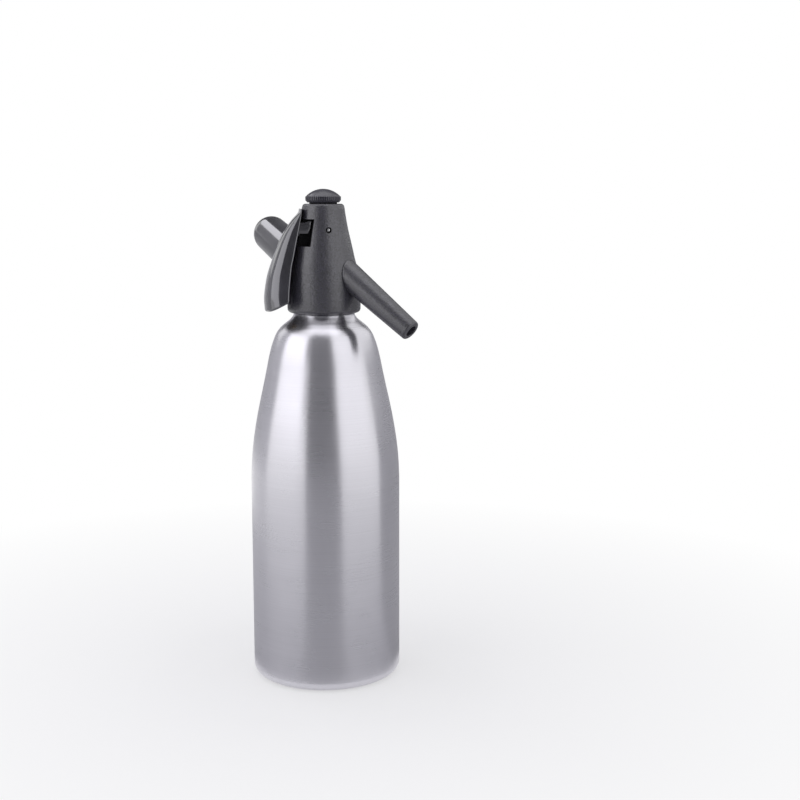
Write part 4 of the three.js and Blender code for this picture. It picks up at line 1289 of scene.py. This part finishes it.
def dress_cad_nodes() -> None:
    """Gives the CAD nodes that stay in view their finishes."""
    for finish, names in CAD_FINISHES.items():
        for name in names:
            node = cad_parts[name]
            node.data.materials.clear()
            node.data.materials.append(finish.material())
            LOG.info("%s keeps its CAD shape, %s", name, finish.name)


# Studio


@dataclass
class Card:
    """A card that shows only in reflections: upright round the siphon, or a mat on the floor.

    Args:
        name: the card's name.
        azimuths: its two ends, in degrees from the camera's side, positive to the right.
        near, far: distance from the axis of its lower and upper edge, in millimetres.
        low, high: height of its lower and upper edge, in millimetres.
        grey: its tone.
    """

    name: str
    azimuths: tuple[float, float]
    near: float
    far: float
    low: float
    high: float
    grey: float

    def surface(self) -> Surface:
        """Returns a strip of a cone: at each azimuth, two points at the two distances and heights."""
        a = np.radians(np.linspace(*self.azimuths, 25) - 90)
        ring = np.stack([np.cos(a), np.sin(a), 0 * a], -1)
        rows = ((self.near, self.low), (self.far, self.high))
        return grid(np.stack([ring * out + (0, 0, z) for out, z in rows]), False, False)


@dataclass
class Studio:
    """Pale floor and backdrop, soft lights, cards for the metal to show, and the camera."""

    camera_place: tuple[float, float, float] = (0.0, -0.8598, 0.3179)
    pitch: float = 8.9
    yaw: float = 3.3
    lens: float = 59.3
    world_colour: tuple[float, float, float] = (0.62, 0.62, 0.65)
    world_strength: float = 1.15
    lamp_colour: tuple[float, float, float] = (0.95, 0.94, 1.0)
    aim_height: float = 0.22
    floor_grey: float = 0.82

    def plain(self, name: str, colour: float) -> tuple[Nodes, Node, Material]:
        """Makes a matt material of one grey.

        Returns:
            The node writer, the shader and the material.
        """
        material = bpy.data.materials.new(name)
        material.use_nodes = True
        shader = material.node_tree.nodes["Principled BSDF"]
        shader.inputs["Base Color"].default_value = (colour, colour, colour, 1)
        shader.inputs["Roughness"].default_value = 0.9
        shader.inputs["Specular IOR Level"].default_value = 0.1
        return Nodes(material.node_tree), shader, material

    def seen(self, n: Nodes) -> Socket:
        """Returns 1 for what the camera, metal and glass see, and 0 for the light on the siphon."""
        path = n.add("ShaderNodeLightPath")
        first, second = (n.add("ShaderNodeMath", operation="MAXIMUM") for _ in range(2))
        n.link(path.outputs["Is Camera Ray"], first.inputs[0])
        n.link(path.outputs["Is Glossy Ray"], first.inputs[1])
        n.link(first.outputs["Value"], second.inputs[0])
        n.link(path.outputs["Is Transmission Ray"], second.inputs[1])
        return second.outputs["Value"]

    def whiten(self, n: Nodes, kind: str, factor: Socket, shader: Node, end: Node) -> None:
        """Turns a shader into plain white by a factor, and gives the mix to the output node.

        Args:
            n: the node writer.
            kind: type of the white shader's node.
            factor: 0 for the shader, 1 for white.
            shader: the shader.
            end: the output node.
        """
        white = n.add(kind)
        white.inputs["Color"].default_value = (1, 1, 1, 1)
        mix = n.add("ShaderNodeMixShader")
        for number, start in enumerate((factor, shader.outputs[0], white.outputs[0])):
            n.link(start, mix.inputs[number])
        n.link(mix.outputs["Shader"], end.inputs["Surface"])

    def world(self) -> None:
        """Sets a soft grey world that the camera, metal and glass see as the white background."""
        world = bpy.data.worlds.new("studio_world")
        bpy.context.scene.world = world
        world.use_nodes = True
        n = Nodes(world.node_tree)
        light = world.node_tree.nodes["Background"]
        light.inputs["Color"].default_value = (*self.world_colour, 1)
        light.inputs["Strength"].default_value = self.world_strength
        self.whiten(n, "ShaderNodeBackground", self.seen(n), light, world.node_tree.nodes["World Output"])

    def floor(self) -> None:
        """Lays a round floor that fades to white and keeps the siphon's shadow near its foot."""
        low, top, out = -0.25, -0.2, 4000.0
        disc = revolve(np.array([[0.0, low], [out, low], [out, top], [0.0, top]]), 96)
        piece = to_object("floor", disc)
        n, shader, material = self.plain("pale_floor", self.floor_grey)
        distance = n.add("ShaderNodeVectorMath", operation="LENGTH")
        n.link(n.add("ShaderNodeTexCoord").outputs["Object"], distance.inputs[0])
        factor = n.add("ShaderNodeMath", operation="MULTIPLY")
        n.link(self.seen(n), factor.inputs[0])
        n.link(n.stretch(distance.outputs["Value"], 0.10, 0.50, 0.45, 1.0), factor.inputs[1])
        self.whiten(n, "ShaderNodeEmission", factor.outputs["Value"], shader,
                    material.node_tree.nodes["Material Output"])
        piece.data.materials.append(material)

    def place(self, card: Card) -> None:
        """Sets up a card."""
        piece = to_object(card.name, card.surface())
        piece.data.materials.append(self.plain(card.name, card.grey)[2])
        for ray in ("visible_camera", "visible_diffuse", "visible_shadow"):
            setattr(piece, ray, False)

    def light(self, name: str, azimuth: float, rise: float, distance: float, width: float, height: float,
              radiance: float) -> None:
        """Hangs a rectangular soft light that faces the siphon.

        Args:
            name: the light's name.
            azimuth: where it hangs, in degrees from the camera's side, positive to the right.
            rise: how high it hangs, in degrees above the siphon's middle.
            distance, width, height: in metres.
            radiance: its brightness, where 1 is white.
        """
        data = bpy.data.lights.new(name, "AREA")
        data.shape, data.size, data.size_y = "RECTANGLE", width, height
        data.energy = radiance * math.pi * width * height
        data.color = self.lamp_colour
        lamp = bpy.data.objects.new(name, data)
        bpy.context.scene.collection.objects.link(lamp)
        aim = Vector((0, 0, self.aim_height))
        lamp.location = aim + heading(azimuth - 90, rise) * distance
        lamp.rotation_euler = (aim - lamp.location).to_track_quat("-Z", "Y").to_euler()
        lamp.visible_camera = False

    def build(self) -> None:
        """Sets up the whole studio."""
        self.world()
        self.floor()
        for card in (Card("front_card", (-30, 22), 1400, 1400, 0, 620, 0.27),
                     Card("high_card", (-42, 18), 900, 440, 430, 1150, 0.22),
                     Card("right_card", (90, 182), 1000, 1000, 0, 400, 0.47),
                     Card("left_card", (-124, -100), 900, 900, 0, 900, 0.62),
                     Card("left_back_card", (-178, -124), 1000, 1000, 0, 420, 0.55),
                     Card("back_high_card", (148, 212), 1000, 620, 430, 1150, 0.22),
                     Card("front_mat", (-30, 24), 62, 1390, 0.4, 0.4, 0.44),
                     Card("right_mat", (88, 182), 62, 990, 0.4, 0.4, 0.42),
                     Card("round_mat", (-178, 88), 60, 480, 0.3, 0.3, 0.50)):
            self.place(card)
        self.light("left_softbox", -66, 28, 1.02, 1.26, 0.80, 0.68)
        self.light("right_softbox", 52, 26, 1.02, 1.08, 0.80, 0.25)
        self.light("top_softbox", 0, 88, 1.0, 0.9, 0.9, 0.7)
        self.light("high_left_softbox", -134, 47, 1.1, 0.42, 0.30, 1.5)
        data = bpy.data.cameras.new("camera")
        data.lens, data.sensor_width = self.lens, 36.0
        data.clip_start, data.clip_end = 0.01, 20.0
        camera = bpy.data.objects.new("camera", data)
        bpy.context.scene.collection.objects.link(camera)
        camera.location = self.camera_place
        camera.rotation_euler = (math.radians(90 - self.pitch), 0, math.radians(-self.yaw))
        bpy.context.scene.camera = camera
        bpy.context.scene.view_settings.view_transform = "Standard"


def main() -> None:
    """Builds the siphon and the studio."""
    logging.basicConfig(level=logging.INFO, format="%(message)s")
    head = Head()
    Bottle().build()
    head.build()
    Lever(head).build()
    Spout(head).build()
    Cap().build()
    ChargerHolder().build()
    for piece in [*valve_pieces(), *springs()]:
        piece.build()
    dress_cad_nodes()
    Studio().build()


if __name__ == "__main__":
    main()
